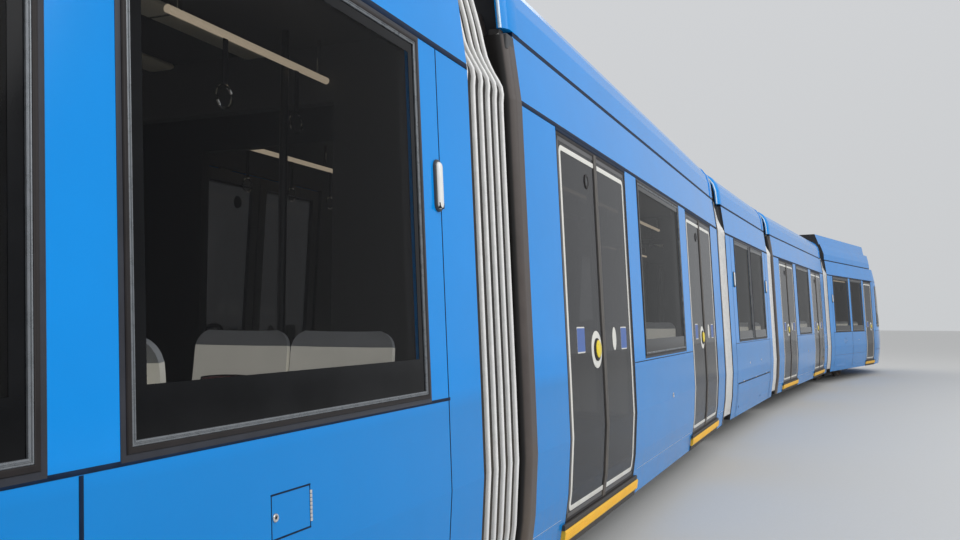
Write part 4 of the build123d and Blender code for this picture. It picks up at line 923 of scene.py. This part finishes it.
# Height and inset of a door or centre car's roof cowl
COWL = [(2.802, 0.134), (2.96, 0.15), (3.05, 0.178), (3.12, 0.228), (3.165, 0.29), (3.19, 0.38)]
# Distance past the cowl's end and height over it
LIP_BAND = mm(-95, -4, -95, 3, -92, 6.5, 30, 6.5, 60, -4, 75, -15, 85, -22, 86.8, -30,
              86, -38.5, 0.5, -38.5, 0.5, -4)
# The tip strip is a painted highlight along the lip's edge.
LIP_TIP = mm(80, -16, 85.8, -19.5, 88.5, -24, 88.5, -30, 85, -30)


def cowl_lips(end):
    """Blue band that hangs over each end of such a roof cowl, with a painted highlight strip along its tip."""
    lips = Shape()
    for way in (-1, 1):
        for profile, slot in ((LIP_BAND, 0), (LIP_TIP, 1)):
            rings = []
            for i, (z, inset) in enumerate(COWL):
                z0, in0 = COWL[max(i - 1, 0)]
                z1, in1 = COWL[min(i + 1, len(COWL) - 1)]
                normal = vec(z1 - z0, in1 - in0).normalized()
                rings.append([vec(way * (end + s), HALF - inset + normal.x * out, z + normal.y * out)
                              for s, out in profile])
            lips.skin(rings, slot=slot)
    return lips.mirrored()


for car in (*DOOR_CARS, "centre_car"):
    end = (DOOR_PITCH if car in DOOR_CARS else CENTRE_PITCH) / 2 - GAP / 2
    fit(car, "cowl_lips", cowl_lips(end), [BLUE_PAINT, PAINTED_HIGHLIGHT_EDGE])


# ---- seats and saloon fittings

SEAT_PITCH = 0.43
SEAT_HALF = 0.208
SEAT_INNER = 0.366
SEAT_TOP = 0.7
SEAT_HEAD = 0.645
SHELL_THICK = 0.018
BASE_LOW, BASE_HIGH, FOOT = 0.678, 0.695, 0.365
# Front line of a moulded seat: distance ahead of the row, height over the base, half width's share
SEAT_LINE = [
    (0.436, 0.022, 0.9), (0.438, 0.048, 0.96), (0.424, 0.062, 0.99), (0.38, 0.062, 1.0), (0.3, 0.056, 1.0),
    (0.2, 0.052, 1.0), (0.12, 0.052, 1.0), (0.076, 0.06, 1.0), (0.048, 0.084, 1.0), (0.034, 0.12, 1.0),
    (0.022, 0.22, 1.0), (0.008, 0.34, 1.0), (-0.006, 0.46, 1.0), (-0.018, 0.56, 1.0), (-0.024, 0.62, 1.0),
    (-0.027, SEAT_HEAD, 0.995), (-0.031, 0.665, 0.965), (-0.034, 0.681, 0.91), (-0.036, 0.692, 0.84),
    (-0.038, SEAT_TOP, 0.74),
]
ACROSS = [-1.0, -0.93, -0.75, -0.45, 0.0, 0.45, 0.75, 0.93, 1.0]


def seat_shell(shape, x, facing, base, y):
    """Moulded bucket: pan, back with raised edges and a darker rounded head."""
    rings = []
    last = len(SEAT_LINE) - 1
    for i, (p, h, share) in enumerate(SEAT_LINE):
        a, b = SEAT_LINE[max(i - 1, 0)], SEAT_LINE[min(i + 1, last)]
        way = vec(b[0] - a[0], b[1] - a[1]).normalized()
        near, far = [], []
        for u in ACROSS:
            rise = 0.012 * abs(u) ** 3
            for row, depth in ((near, rise), (far, rise - SHELL_THICK)):
                row.append(vec(x + facing * (p + way.y * depth), y + u * share * SEAT_HALF,
                               base + h - way.x * depth))
        rings.append(near + list(reversed(far)))
    first = len(shape.slots)
    shape.skin(rings, slot=0)
    split = sum(1 for _, h, _ in SEAT_LINE if h < SEAT_HEAD)
    for k in range(first + split * len(rings[0]), len(shape.slots)):
        shape.slots[k] = 1


def cushion(pads, piping, place, length, width, thick):
    """Crowned closed pad with pulled-in sides and a piped seam; place(a, b, out) maps it."""
    n, edge, pull, cut, channel_depth = 8, 0.01, 0.045, 0.1, 0.1
    grid = []
    for i in range(n + 1):
        for j in range(n + 1):
            v = 2 * j / n - 1
            su, sv = sin((2 * i / n - 1) * pi / 2), sin(v * pi / 2)
            corner = 1 - cut * sv * sv * su * su
            a = su * corner * (1 - pull * (1 - sv * sv))
            b = sv * corner * (1 - pull * (1 - su * su))
            crown = ((1 - su ** 4) * (1 - sv ** 4)) ** 0.5
            crown -= channel_depth * exp(-((v * 3.2) ** 2) * 6) * crown
            grid.append((a * length / 2, b * width / 2, crown))
    verts = [place(a, b, edge + (thick - edge) * c) for a, b, c in grid]
    verts += [place(a, b, 0.001) for a, b, _ in grid]
    row = n + 1
    flat = row * row
    faces = []
    for i in range(n):
        for j in range(n):
            q = (i * row + j, (i + 1) * row + j, (i + 1) * row + j + 1, i * row + j + 1)
            faces += [q, tuple(flat + k for k in reversed(q))]
    rim = [i * row for i in range(n)] + [n * row + j for j in range(n)]
    rim += [i * row + n for i in range(n, 0, -1)] + list(range(n, 0, -1))
    for a, b in zip(rim, rim[1:] + rim[:1]):
        faces.append((b, a, flat + a, flat + b))
    pads.add(verts, faces)
    piping.tube([place(*grid[k][:2], 0.009) for k in rim], 0.0035, 5, closed=True)


def seat_pads(pads, piping, x, facing, base, y):
    """Pads of one bucket: one on the pan, one on the back."""
    def on_pan(a, b, out):
        return vec(x + facing * (0.245 + a), y + b, base + 0.053 + 0.02 * a + out)

    lean = vec(-0.04, 0.4).normalized()

    def on_back(a, b, out):
        ahead, up = lean.x * a + lean.y * out, lean.y * a - lean.x * out
        return vec(x + facing * (0.013 + ahead), y + b, base + 0.345 + up)

    cushion(pads, piping, on_pan, 0.315, 0.365, 0.042)
    cushion(pads, piping, on_back, 0.4, 0.355, 0.036)


def seat_rows(car):
    """Rows of a car's seats: place, facing, base height and foot height."""
    if car in DOOR_CARS:
        return [(-0.78, 1, BASE_HIGH, FOOT), (0.78, -1, BASE_HIGH, FOOT)]
    middle = BOGIE_X if car in END_CARS else 0.0
    return [(middle - 1.18, 1, BASE_LOW, BASE_LOW), (middle - 0.1, -1, BASE_LOW, FOOT),
            (middle + 0.1, 1, BASE_LOW, FOOT), (middle + 1.18, -1, BASE_LOW, BASE_LOW)]


def plinth(shape, x, facing, base, foot, y0, width):
    """Panelled box under a double seat, with its front set back for the feet."""
    x0, x1 = sorted((x - facing * 0.022, x + facing * 0.345))
    y1 = y0 + width
    shape.block((x0, y0 + 0.03, max(foot + 0.001, base - 0.31)), (x1, y1 - 0.03, base + 0.018), 0.01, 2)
    if foot < base:
        shape.block((x0 + 0.03, y0 + 0.05, foot), (x1 - 0.03, y1 - 0.05, base - 0.3), 0.006, 3)
    shape.block((x0 + 0.02, y0 + 0.02, base + 0.014), (x1 - 0.01, y1 - 0.02, base + 0.036), 0.006, 3)


# Distance back, distance across and height of a grab handle's points
HANDLE = [
    (0.0, 0.08, -0.06), (0.004, 0.08, 0.004), (0.006, 0.07, 0.022), (0.008, 0.052, 0.03),
    (0.008, 0.03, 0.03), (0.006, 0.012, 0.022), (0.004, 0.002, 0.004), (0.0, 0.0, -0.12)]


def grab_loop(shape, x, facing, base, y):
    """Bent grab handle on the aisle corner of a seat back."""
    top = base + SEAT_TOP - 0.012
    shape.tube([vec(x - facing * (0.058 + d), y + s, top + h) for d, s, h in HANDLE], 0.01, 8, slot=4)


for car in CARS:
    shells, pads, piping = Shape(), Shape(), Shape()
    for x, facing, base, foot in seat_rows(car):
        plinth(shells, x, facing, base, foot, SEAT_INNER, 2 * SEAT_PITCH)
        grab_loop(shells, x, facing, base, SEAT_INNER + 0.012)
        for k in (0.5, 1.5):
            seat_shell(shells, x, facing, base, SEAT_INNER + k * SEAT_PITCH)
            seat_pads(pads, piping, x, facing, base, SEAT_INNER + k * SEAT_PITCH)
    made = fit(car, "seat_shells", shells.mirrored(), [CREAM_GLOW, GREY_SHELL, TRIM, GRILLE, POLE])
    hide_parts(car + "_seats")
    made = fit(car, "seat_pads", pads.mirrored(), [MOQUETTE], 60)
    fit(car, "seat_piping", piping.mirrored(), [RUBBER], 80)


def saloon(car):
    """Ceiling rails with straps, and light strips with the air duct's slots."""
    shape = Shape()
    y, rail_z, post_pitch, strap_pitch = 0.62, 2.44, 0.9, 0.45
    if car in END_CARS:
        x0, x1 = 0.4, 4.7
        rails = [(x0, 1.37), (1.5, x1)]
    else:
        x1 = 3.05 if car in DOOR_CARS else 1.62
        x0 = -x1
        rails = [(x0, x1)]
    for a, b in rails:
        shape.tube([vec(x, y, rail_z) for x in (a, a + 0.004, b - 0.004, b)], 0.0145, 10, slot=0)
        count = max(2, round((b - a) / post_pitch))
        for k in range(count):
            x = a + 0.06 + (b - a - 0.12) * k / (count - 1)
            shape.tube([vec(x, y, rail_z + 0.01), vec(x, y, 2.603)], 0.009, 8, slot=2)
        for k in range(int((b - a) / strap_pitch)):
            x = a + 0.22 + strap_pitch * k
            shape.block((x - 0.014, y - 0.0015, 2.25), (x + 0.014, y + 0.0015, 2.428), 0.001, 3)
            shape.tube([vec(x + 0.042 * c, y, 2.215 + 0.042 * s) for c, s in circle(14)], 0.006, 6, 2, True)
    shape.block((x0, 0.2, 2.575), (x1, 0.34, 2.602), 0.01, 1)
    for x in between(x0, x1, 0.6):
        shape.block((x - 0.006, 0.196, 2.57), (x + 0.006, 0.344, 2.6), 0.002, 2)
    return shape.mirrored()


for car in CARS:
    fit(car, "ceiling_fittings", saloon(car), [LIGHT_TUBE, LIGHT_STRIP, CHROME, STRAP])


# ---- cabs


def nose_tree(car):
    """Outer faces of one end car's cab in the car's own frame, for laying trim on."""
    back = placement(*CARS[car]).inverted()
    verts, faces = [], []
    for part in ("cab_shell", "glazing", "lamps"):
        mesh = NODES[f"{car}_{part}"].data
        start = len(verts)
        verts += [back @ v.co for v in mesh.vertices]
        faces += [[start + i for i in p.vertices] for p in mesh.polygons]
    return BVHTree.FromPolygons(verts, faces)


def laid_on(tree, start, way):
    """Surface function that drops each point on the cab along one direction."""
    def surface(a, z, out):
        place, normal, _, _ = tree.ray_cast(start(a, z), way)
        if normal.dot(way) > 0:
            normal = -normal
        return place + normal * out
    return surface


def cab_side_trim(frames, seams, on_cab):
    window_frame(frames, (5.08, 5.96, 1.24, 2.33), on_cab, 0.04, 0)
    for x0, x1, z in ((4.8, 6.55, BELT), (4.8, 6.6, PANEL_TOP), (4.8, 6.2, GUTTER)):
        bar_along(seams, x0, x1, z, hump(0.008, 0.0024), on_cab, 0, 64)
    for x in (6.16, 4.86):
        seams.skin([[on_cab(x + dx, 0.26 + 0.07 * k, out) for dx, out in SEAM_LINE] for k in range(32)])


LAMP_Y, RED_LAMP_Y, LAMP_Z = 0.605, 0.86, 0.77
# Distance from the cluster's middle, radius and material slot of its round lamps
LAMPS = ((-0.095, 0.058, 2), (0.045, 0.05, 2), (0.135, 0.026, 7))


def front_trim(frames, seams, fittings, on_front):
    """Windscreen rubber and black edge, bumper and coupler seams, lamps, blank destination panel."""
    screen = (-0.76, 0.76, 1.16, 2.52)
    for profile, slot in ((mm(12, -10, 12, 2, 6, 8, -10, 9, -18, 3, -18, -10), 0),
                          (mm(-22, -3, -22, 1.2, -85, 1.2, -85, -3), 2)):
        frame_loop(frames, screen, 0.14, profile, on_front, slot, 0.09)
    for out0, out1, z0, z1, reach, slot in ((-0.004, 0.0014, 2.215, 2.43, 1.0, 2),
                                            (0.0012, 0.0022, 2.25, 2.4, 0.9, 4)):
        ring = ((z0, out0), (z0, out1), (z1, out1), (z1, out0))
        frames.skin([[on_front((-0.66 + 0.11 * k) * reach, z, out) for z, out in ring] for k in range(13)],
                    slot=slot)
    for reach, z, line in ((1.02, PANEL_TOP, hump(0.01, 0.0032)), (0.95, 1.06, hump(0.009, 0.003))):
        bar_along(seams, -reach, reach, z, line, on_front, 0, 90)
    frame_loop(seams, (-0.36, 0.36, 0.34, 0.59), 0.04, hump(0.007, 0.0018), on_front, 0, 0.09)
    bezel = mm(10, -8, 10, 4, 4, 7, -4, 5, -6, -8)
    for side in (-1, 1):
        y = side * LAMP_Y
        rect = (y - 0.183, y + 0.183, LAMP_Z - 0.078, LAMP_Z + 0.078)
        frame_loop(fittings, rect, 0.03, bezel, on_front, 1, 0.09)
        for dy, radius, slot in LAMPS:
            round_lamp(fittings, on_front, y + side * dy, LAMP_Z, radius, slot)
        turned(fittings, side * RED_LAMP_Y, LAMP_Z, mm(24, -6, 24, 4, 18, 7, 7, 8), on_front, 8, 20)


def round_lamp(shape, surface, y, z, radius, slot):
    """Bright bezel, lens with a stepped dome."""
    bezel = ((1, -0.006), (1, 0.006), (0.93, 0.009), (0.84, 0.006), (0.8, -0.004))
    lens = ((0.82, -0.006), (0.8, 0.003), (0.6, 0.006), (0.3, 0.008))
    for line, part_slot in ((bezel, 0), (lens, slot)):
        turned(shape, y, z, [(radius * k, out) for k, out in line], surface, part_slot, 28)


def wipers(shape, on_front):
    """Two wipers parked upright: pivot cap, sprung arm and blade."""
    lean, foot_z = 0.1, 1.118
    for foot in (-0.36, 0.2):
        turned(shape, foot, foot_z, mm(30, -4, 30, 18, 22, 30, 8, 33), on_front, 1, 16)
        shape.tube([on_front(foot + lean * k / 6, foot_z + 0.092 * k, 0.03 + 0.012 * sin(pi * k / 6))
                    for k in range(7)], 0.0085, 8, slot=1)
        blade = [on_front(foot + lean + 0.01, 1.33 + 0.075 * k, 0.016) for k in range(12)]
        shape.tube(blade, 0.007, 6, slot=1)
        for k in (3, 8):
            shape.block(blade[k] - vec(0.006, 0.012, 0.02), blade[k] + vec(0.018, 0.012, 0.02), 0.003, 5)


# Desk solids: outline along and up the cab, their two sides, material slot
DESK_SLABS = (
    (mm(6352, 366, 6895, 366, 6972, 1016, 6430, 1076, 6352, 1000), ((-0.548, -0.33), (0.33, 0.548)), 0),
    (mm(6352, 860, 6952, 830, 6972, 1016, 6430, 1076, 6352, 1000), ((-0.331, 0.331),), 0),
    (mm(6560, 1050, 6900, 1020, 6900, 1075, 6640, 1210, 6600, 1205), ((-0.36, 0.3),), 0),
    (mm(6556, 1062, 6562, 1064, 6602, 1200, 6596, 1198),
     ((-0.33, -0.13), (-0.11, 0.09), (0.11, 0.27)), 1),
)
# Front board, lever's knob, seat's foot and seat's frame: two corners, chamfer, material slot
DESK_BLOCKS = (
    ((6.8, -0.331, 0.366), (6.89, 0.331, 0.86), 0.006, 0),
    ((6.405, 0.36, 1.145), (6.455, 0.44, 1.175), 0.01, 0),
    ((5.72, -0.15, 0.366), (6.02, 0.15, 0.4), 0.01, 5),
    ((5.74, -0.19, 0.69), (6.06, 0.19, 0.74), 0.012, 0),
)
DRIVER_X, DRIVER_BASE = 5.7, 0.695


def desk_and_seat(shape):
    """Driver's desk with binnacle, screens, lever and buttons, and the seat on its pedestal."""
    for line, sides, slot in DESK_SLABS:
        for ys in sides:
            shape.skin([[vec(x, y, z) for x, z in line] for y in ys], slot=slot)
    for block in DESK_BLOCKS:
        shape.block(*block)
    for k in range(9):
        x, y = 6.45 + 0.03 * (k % 2), -0.48 + 0.028 * k
        shape.block((x, y - 0.008, 1.068), (x + 0.02, y + 0.008, 1.084), 0.003, 2 + k % 3)
    shape.tube([vec(6.47, 0.4, 1.06), vec(6.46, 0.4, 1.13), vec(6.44, 0.4, 1.155)], 0.012, 8, slot=5)
    shape.tube([vec(5.87, 0, 0.39), vec(5.87, 0, 0.7)], 0.06, 16, slot=5)
    seat_shell(shape, DRIVER_X, 1, DRIVER_BASE, 0.0)
    for y0, y1 in ((-0.275, -0.235), (0.235, 0.275)):
        shape.block((5.73, y0, 0.905), (6.0, y1, 0.94), 0.012, 0)
        shape.block((5.72, y0 + 0.008, 0.76), (5.75, y1 - 0.008, 0.92), 0.006, 5)


for car in END_CARS:
    tree = nose_tree(car)
    on_cab = laid_on(tree, lambda x, z: vec(x, 2.0, z), vec(0, -1, 0))
    on_front = laid_on(tree, lambda y, z: vec(8.5, y, z), vec(-1, 0, 0))
    frames, seams, fittings = Shape(), Shape(), Shape()
    cab_side_trim(frames, seams, on_cab)
    frames.mirrored()
    seams.mirrored()
    front_trim(frames, seams, fittings, on_front)
    wipers(fittings, on_front)
    fit(car, "cab_frames", frames, [RUBBER, BEAD, FRIT, BAND, DISPLAY])
    fit(car, "cab_seams", seams, [SEAM], 60)
    fit(car, "front_lamps", fittings,
        [CHROME, RUBBER, LENS_WHITE, RUBBER, RUBBER, GRILLE, RUBBER, AMBER, LAMP_RED])
    desk, pads, piping = Shape(), Shape(), Shape()
    desk_and_seat(desk)
    made = fit(car, "driver_desk", desk,
               [TRIM, SCREEN, LAMP_RED, BUTTON_YELLOW, CHROME, GRILLE])
    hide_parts(car + "_cab_desk")
    seat_pads(pads, piping, DRIVER_X, 1, DRIVER_BASE, 0.0)
    made = fit(car, "driver_cushion", pads, [MOQUETTE], 60)
    fit(car, "driver_piping", piping, [RUBBER], 80)


# ---- roof


def flat_top(z0):
    """Surface function of a level top, for round fittings that stand on it."""
    return lambda x, y, out: vec(x, y, z0 + out)


# Radius, half sweep, and lower and upper edge of a fan blade's stations
BLADE = ((0.062, 0.28, -0.028, -0.01), (0.15, 0.24, -0.027, -0.013), (0.24, 0.2, -0.026, -0.016))


def fan(shape, x, top):
    """Ringed fan in its recess: hub, seven twisted blades and a wire guard."""
    level = flat_top(top)
    turned(shape, x, 0, mm(275, -4, 275, 4, 262, 8, 254, 4, 252, -29), level, 0, 48)
    turned(shape, x, 0, mm(70, -29, 70, -12, 50, -6, 15, -5), level, 1, 24)
    for k in range(7):
        rings = []
        for radius, sweep, low, high in BLADE:
            a, b = (level(x + radius * cos(t), radius * sin(t), z)
                    for t, z in ((2 * pi * k / 7 - sweep, low), (2 * pi * k / 7 + sweep, high)))
            rings.append([a, b, b + vec(0, 0, 0.003), a + vec(0, 0, 0.003)])
        shape.skin(rings, slot=1)
    for radius in (0.085, 0.13, 0.175, 0.22):
        shape.tube([level(x + radius * c, radius * s, 0) for c, s in circle(36)], 0.0028, 5, 2, True)
    for k in range(6):
        c, s = cos(pi * k / 6) * 0.258, sin(pi * k / 6) * 0.258
        shape.tube([level(x - c, -s, 0.003), level(x + c, s, 0.003)], 0.003, 5, slot=2)


def roof_details(units, height):
    """Fans, lid seams, lifting eyes and louvres of a car's roof cases."""
    shape = Shape()
    top = ROOF + height
    for x0, x1 in units:
        for share in (0.25, 0.75):
            fan(shape, x0 + (x1 - x0) * share, top)
        low, high = (x0 + x1) / 2 - 0.11, (x0 + x1) / 2 + 0.11
        for k in range(9):
            y = -0.32 + 0.08 * k
            shape.block((low, y - 0.022, top - 0.003), (high, y + 0.012, top + 0.007), 0.003)
        for x in (x0 + 0.05, x1 - 0.05):
            for y in (-0.52, 0.52):
                eye = [vec(x, y + 0.022 * c, top + 0.014 + 0.022 * s) for c, s in circle(14)]
                shape.tube(eye, 0.0055, 6, 2, True)
        for x in (x0 + 0.012, x1 - 0.012):
            shape.block((x - 0.006, -0.6, top - 0.004), (x + 0.006, 0.6, top + 0.004), 0.002)
    return shape


for car in CARS:
    if car != "centre_car":
        units, height = ROOF_UNITS["end" if car in END_CARS else "door"]
        fit(car, "roof_fans", roof_details(units, height), [GRILLE, BOGIE, GALVANISED])


def pantograph_dressing():
    """Sheds on the insulators, and the raising springs between their cross members."""
    shape = Shape()
    shed = ((0.04, -0.006), (0.062, -0.001), (0.064, 0.002), (0.06, 0.005), (0.04, 0.008))
    for x, y in ((-0.44, -0.28), (-0.44, 0.28), (0.71, -0.28), (0.71, 0.28)):
        for k in range(4):
            turned(shape, x, y, shed, flat_top(2.868 + 0.024 * k), 0, 24)
    for y in (-0.075, 0.075):
        shape.tube([vec(0.2 - 0.36 * t / 90, y + 0.02 * cos(t * 1.256), 3.05 + 0.02 * sin(t * 1.256))
                    for t in range(91)], 0.004, 5, slot=1)
        for x0, x1 in ((0.195, 0.225), (-0.185, -0.155)):
            shape.block((x0, y - 0.026, 3.015), (x1, y + 0.026, 3.075), 0.004, 1)
    for x0, x1 in ((0.2, 0.24), (-0.19, -0.15)):
        shape.block((x0, -0.26, 3.0), (x1, 0.26, 3.022), 0.004, 1)
    return shape


emit("pantograph_insulators", pantograph_dressing(), [INSULATOR, STEEL], body="centre_car")


def collector_strips():
    """Carbon wearing strips along both bars of the collector head."""
    low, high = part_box("pantograph_head")
    strips = Shape()
    z = high[2]
    for dx in (-0.15, 0.15):
        x = (low[0] + high[0]) / 2 + dx
        strips.block((x - 0.019, -0.52, z - 0.003), (x + 0.019, 0.52, z), 0.0008, 0)
        for y in (-0.5, -0.17, 0.17, 0.5):
            strips.block((x - 0.027, y - 0.012, z - 0.03), (x + 0.027, y + 0.012, z - 0.006), 0.002, 1)
    return strips


emit("pantograph_strips", collector_strips(), [CARBON, CHROME], body="pantograph_head")


# ---- bogies


def bogie_details(middle):
    """Axle-box covers with their bolts."""
    shape = Shape()
    face = 0.935
    for x in (middle - WHEELBASE / 2, middle + WHEELBASE / 2):
        def plate(a, z, out):
            return vec(a, face + out, z)
        turned(shape, x, AXLE_Z, mm(78, -2, 78, 8, 70, 12, 34, 14, 30, 18), plate, 0, 28)
        for c, s in circle(6):
            turned(shape, x + 0.056 * c, AXLE_Z + 0.056 * s, mm(9, 10, 9, 20, 6, 22), plate, 1, 6)
    return shape.mirrored()


for car in (*END_CARS, "centre_car"):
    details = bogie_details(BOGIE_X if car in END_CARS else 0.0)
    fit(car, "axle_covers", details, [BOGIE, GALVANISED])


# ---- stage, light and camera

MATERIALS = {
    "lamps": LENS_WHITE, "poles": POLE, "cab_desk": TRIM, "door_frames": LEAF_GREY, "roof_unit": ROOF_GREY,
    "bogie_frame": BOGIE, "wheelset_1": WHEEL, "wheelset_2": WHEEL, "seats": SEAT_SHELL,
}
for name, node in NODES.items():
    car = next((c for c in CARS if name.startswith(c)), None)
    if name.startswith("pantograph"):
        chosen = STEEL
    elif name.startswith("bellows"):
        chosen = CLOTH
    else:
        part = name[len(car) + 1:]
        if part in ("shell", "cab_shell"):
            chosen = bpy.data.materials.get(f"{car}_paint") or paint(f"{car}_paint", car)
        elif part == "roof_cowl":
            chosen = paint(f"{car}_cowl_paint", car, has_inside=False)
        elif part == "glazing":
            chosen = glass(f"{car}_glass", car)
        elif part == "gangway_collars":
            chosen = collar_rubber(car)
        else:
            chosen = MATERIALS[part]
    node.data.materials.clear()
    node.data.materials.append(chosen)


def stage_floor():
    n = Nodes("studio_floor")
    grain = n.noise(60.0, 2.0)
    shade = n.mix(grain, srgb(206, 206, 204), srgb(212, 212, 210))
    shape = Shape()
    shape.skin([[vec(x, y, z) for x, y in ((-120, -120), (120, -120), (120, 120), (-120, 120))]
                for z in (-0.12, -0.026)])
    floor = emit("studio_floor", shape, [n.finish(shade, 0.75, grain, 0.02, 0.001)])
    floor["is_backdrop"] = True


def studio_world():
    """Soft pale surround, a little darker low down."""
    world = bpy.data.worlds.new("studio")
    bpy.context.scene.world = world
    world.use_nodes = True
    tree = world.node_tree
    background = tree.nodes["Background"]
    background.inputs["Strength"].default_value = 0.74
    sky, coords, turn, ramp = (tree.nodes.new("ShaderNode" + kind)
                               for kind in ("TexGradient", "TexCoord", "Mapping", "ValToRGB"))
    turn.inputs["Rotation"].default_value = (0, radians(90), 0)
    ramp.color_ramp.elements[0].color = (0.8, 0.82, 0.84, 1)
    ramp.color_ramp.elements[1].color = (0.96, 0.97, 1.0, 1)
    for source, target in ((coords.outputs["Generated"], turn.inputs[0]), (turn.outputs[0], sky.inputs[0]),
                           (sky.outputs["Fac"], ramp.inputs[0]),
                           (ramp.outputs[0], background.inputs["Color"])):
        tree.links.new(source, target)


def area_light(name, place, target, size, power):
    data = bpy.data.lights.new(name, "AREA")
    data.shape = "RECTANGLE"
    data.size, data.size_y = size
    data.energy = power
    lamp = bpy.data.objects.new(name, data)
    bpy.context.scene.collection.objects.link(lamp)
    lamp.location = place
    lamp.rotation_euler = (Vector(target) - Vector(place)).to_track_quat("-Z", "Y").to_euler()


stage_floor()
studio_world()
area_light("key", (-6.0, -16.0, 12.0), (-2.0, 0.0, 1.2), (26.0, 12.0), 2000)
area_light("fill", (10.0, 14.0, 11.0), (0.0, 0.0, 1.5), (22.0, 12.0), 900)

SENSOR, FOCUS, PICTURE_WIDTH = 36.0, 893.0, 960.0
CAMERA_PLACE = (-12.633, -3.182, 1.425)
CAMERA_HEADING, CAMERA_PITCH, CAMERA_ROLL = 25.5, 3.12, -0.15
camera_data = bpy.data.cameras.new("camera")
camera_data.sensor_width = SENSOR
camera_data.lens = FOCUS * SENSOR / PICTURE_WIDTH
camera_data.clip_start = 0.05
camera_data.clip_end = 400.0
camera = bpy.data.objects.new("camera", camera_data)
bpy.context.scene.collection.objects.link(camera)
camera.matrix_world = (
    Matrix.Translation(CAMERA_PLACE)
    @ Matrix.Rotation(radians(CAMERA_HEADING - 90), 4, "Z")
    @ Matrix.Rotation(radians(90 + CAMERA_PITCH), 4, "X")
    @ Matrix.Rotation(radians(-CAMERA_ROLL), 4, "Z")
)
bpy.context.scene.camera = camera
bpy.context.scene.view_settings.view_transform = "Standard"

SIZES = [[list(corner) for corner in CAD_BOX], [list(corner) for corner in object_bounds()]]
"[\n" + ",\n".join(json.dumps(row) for row in SIZES) + "\n]\n"
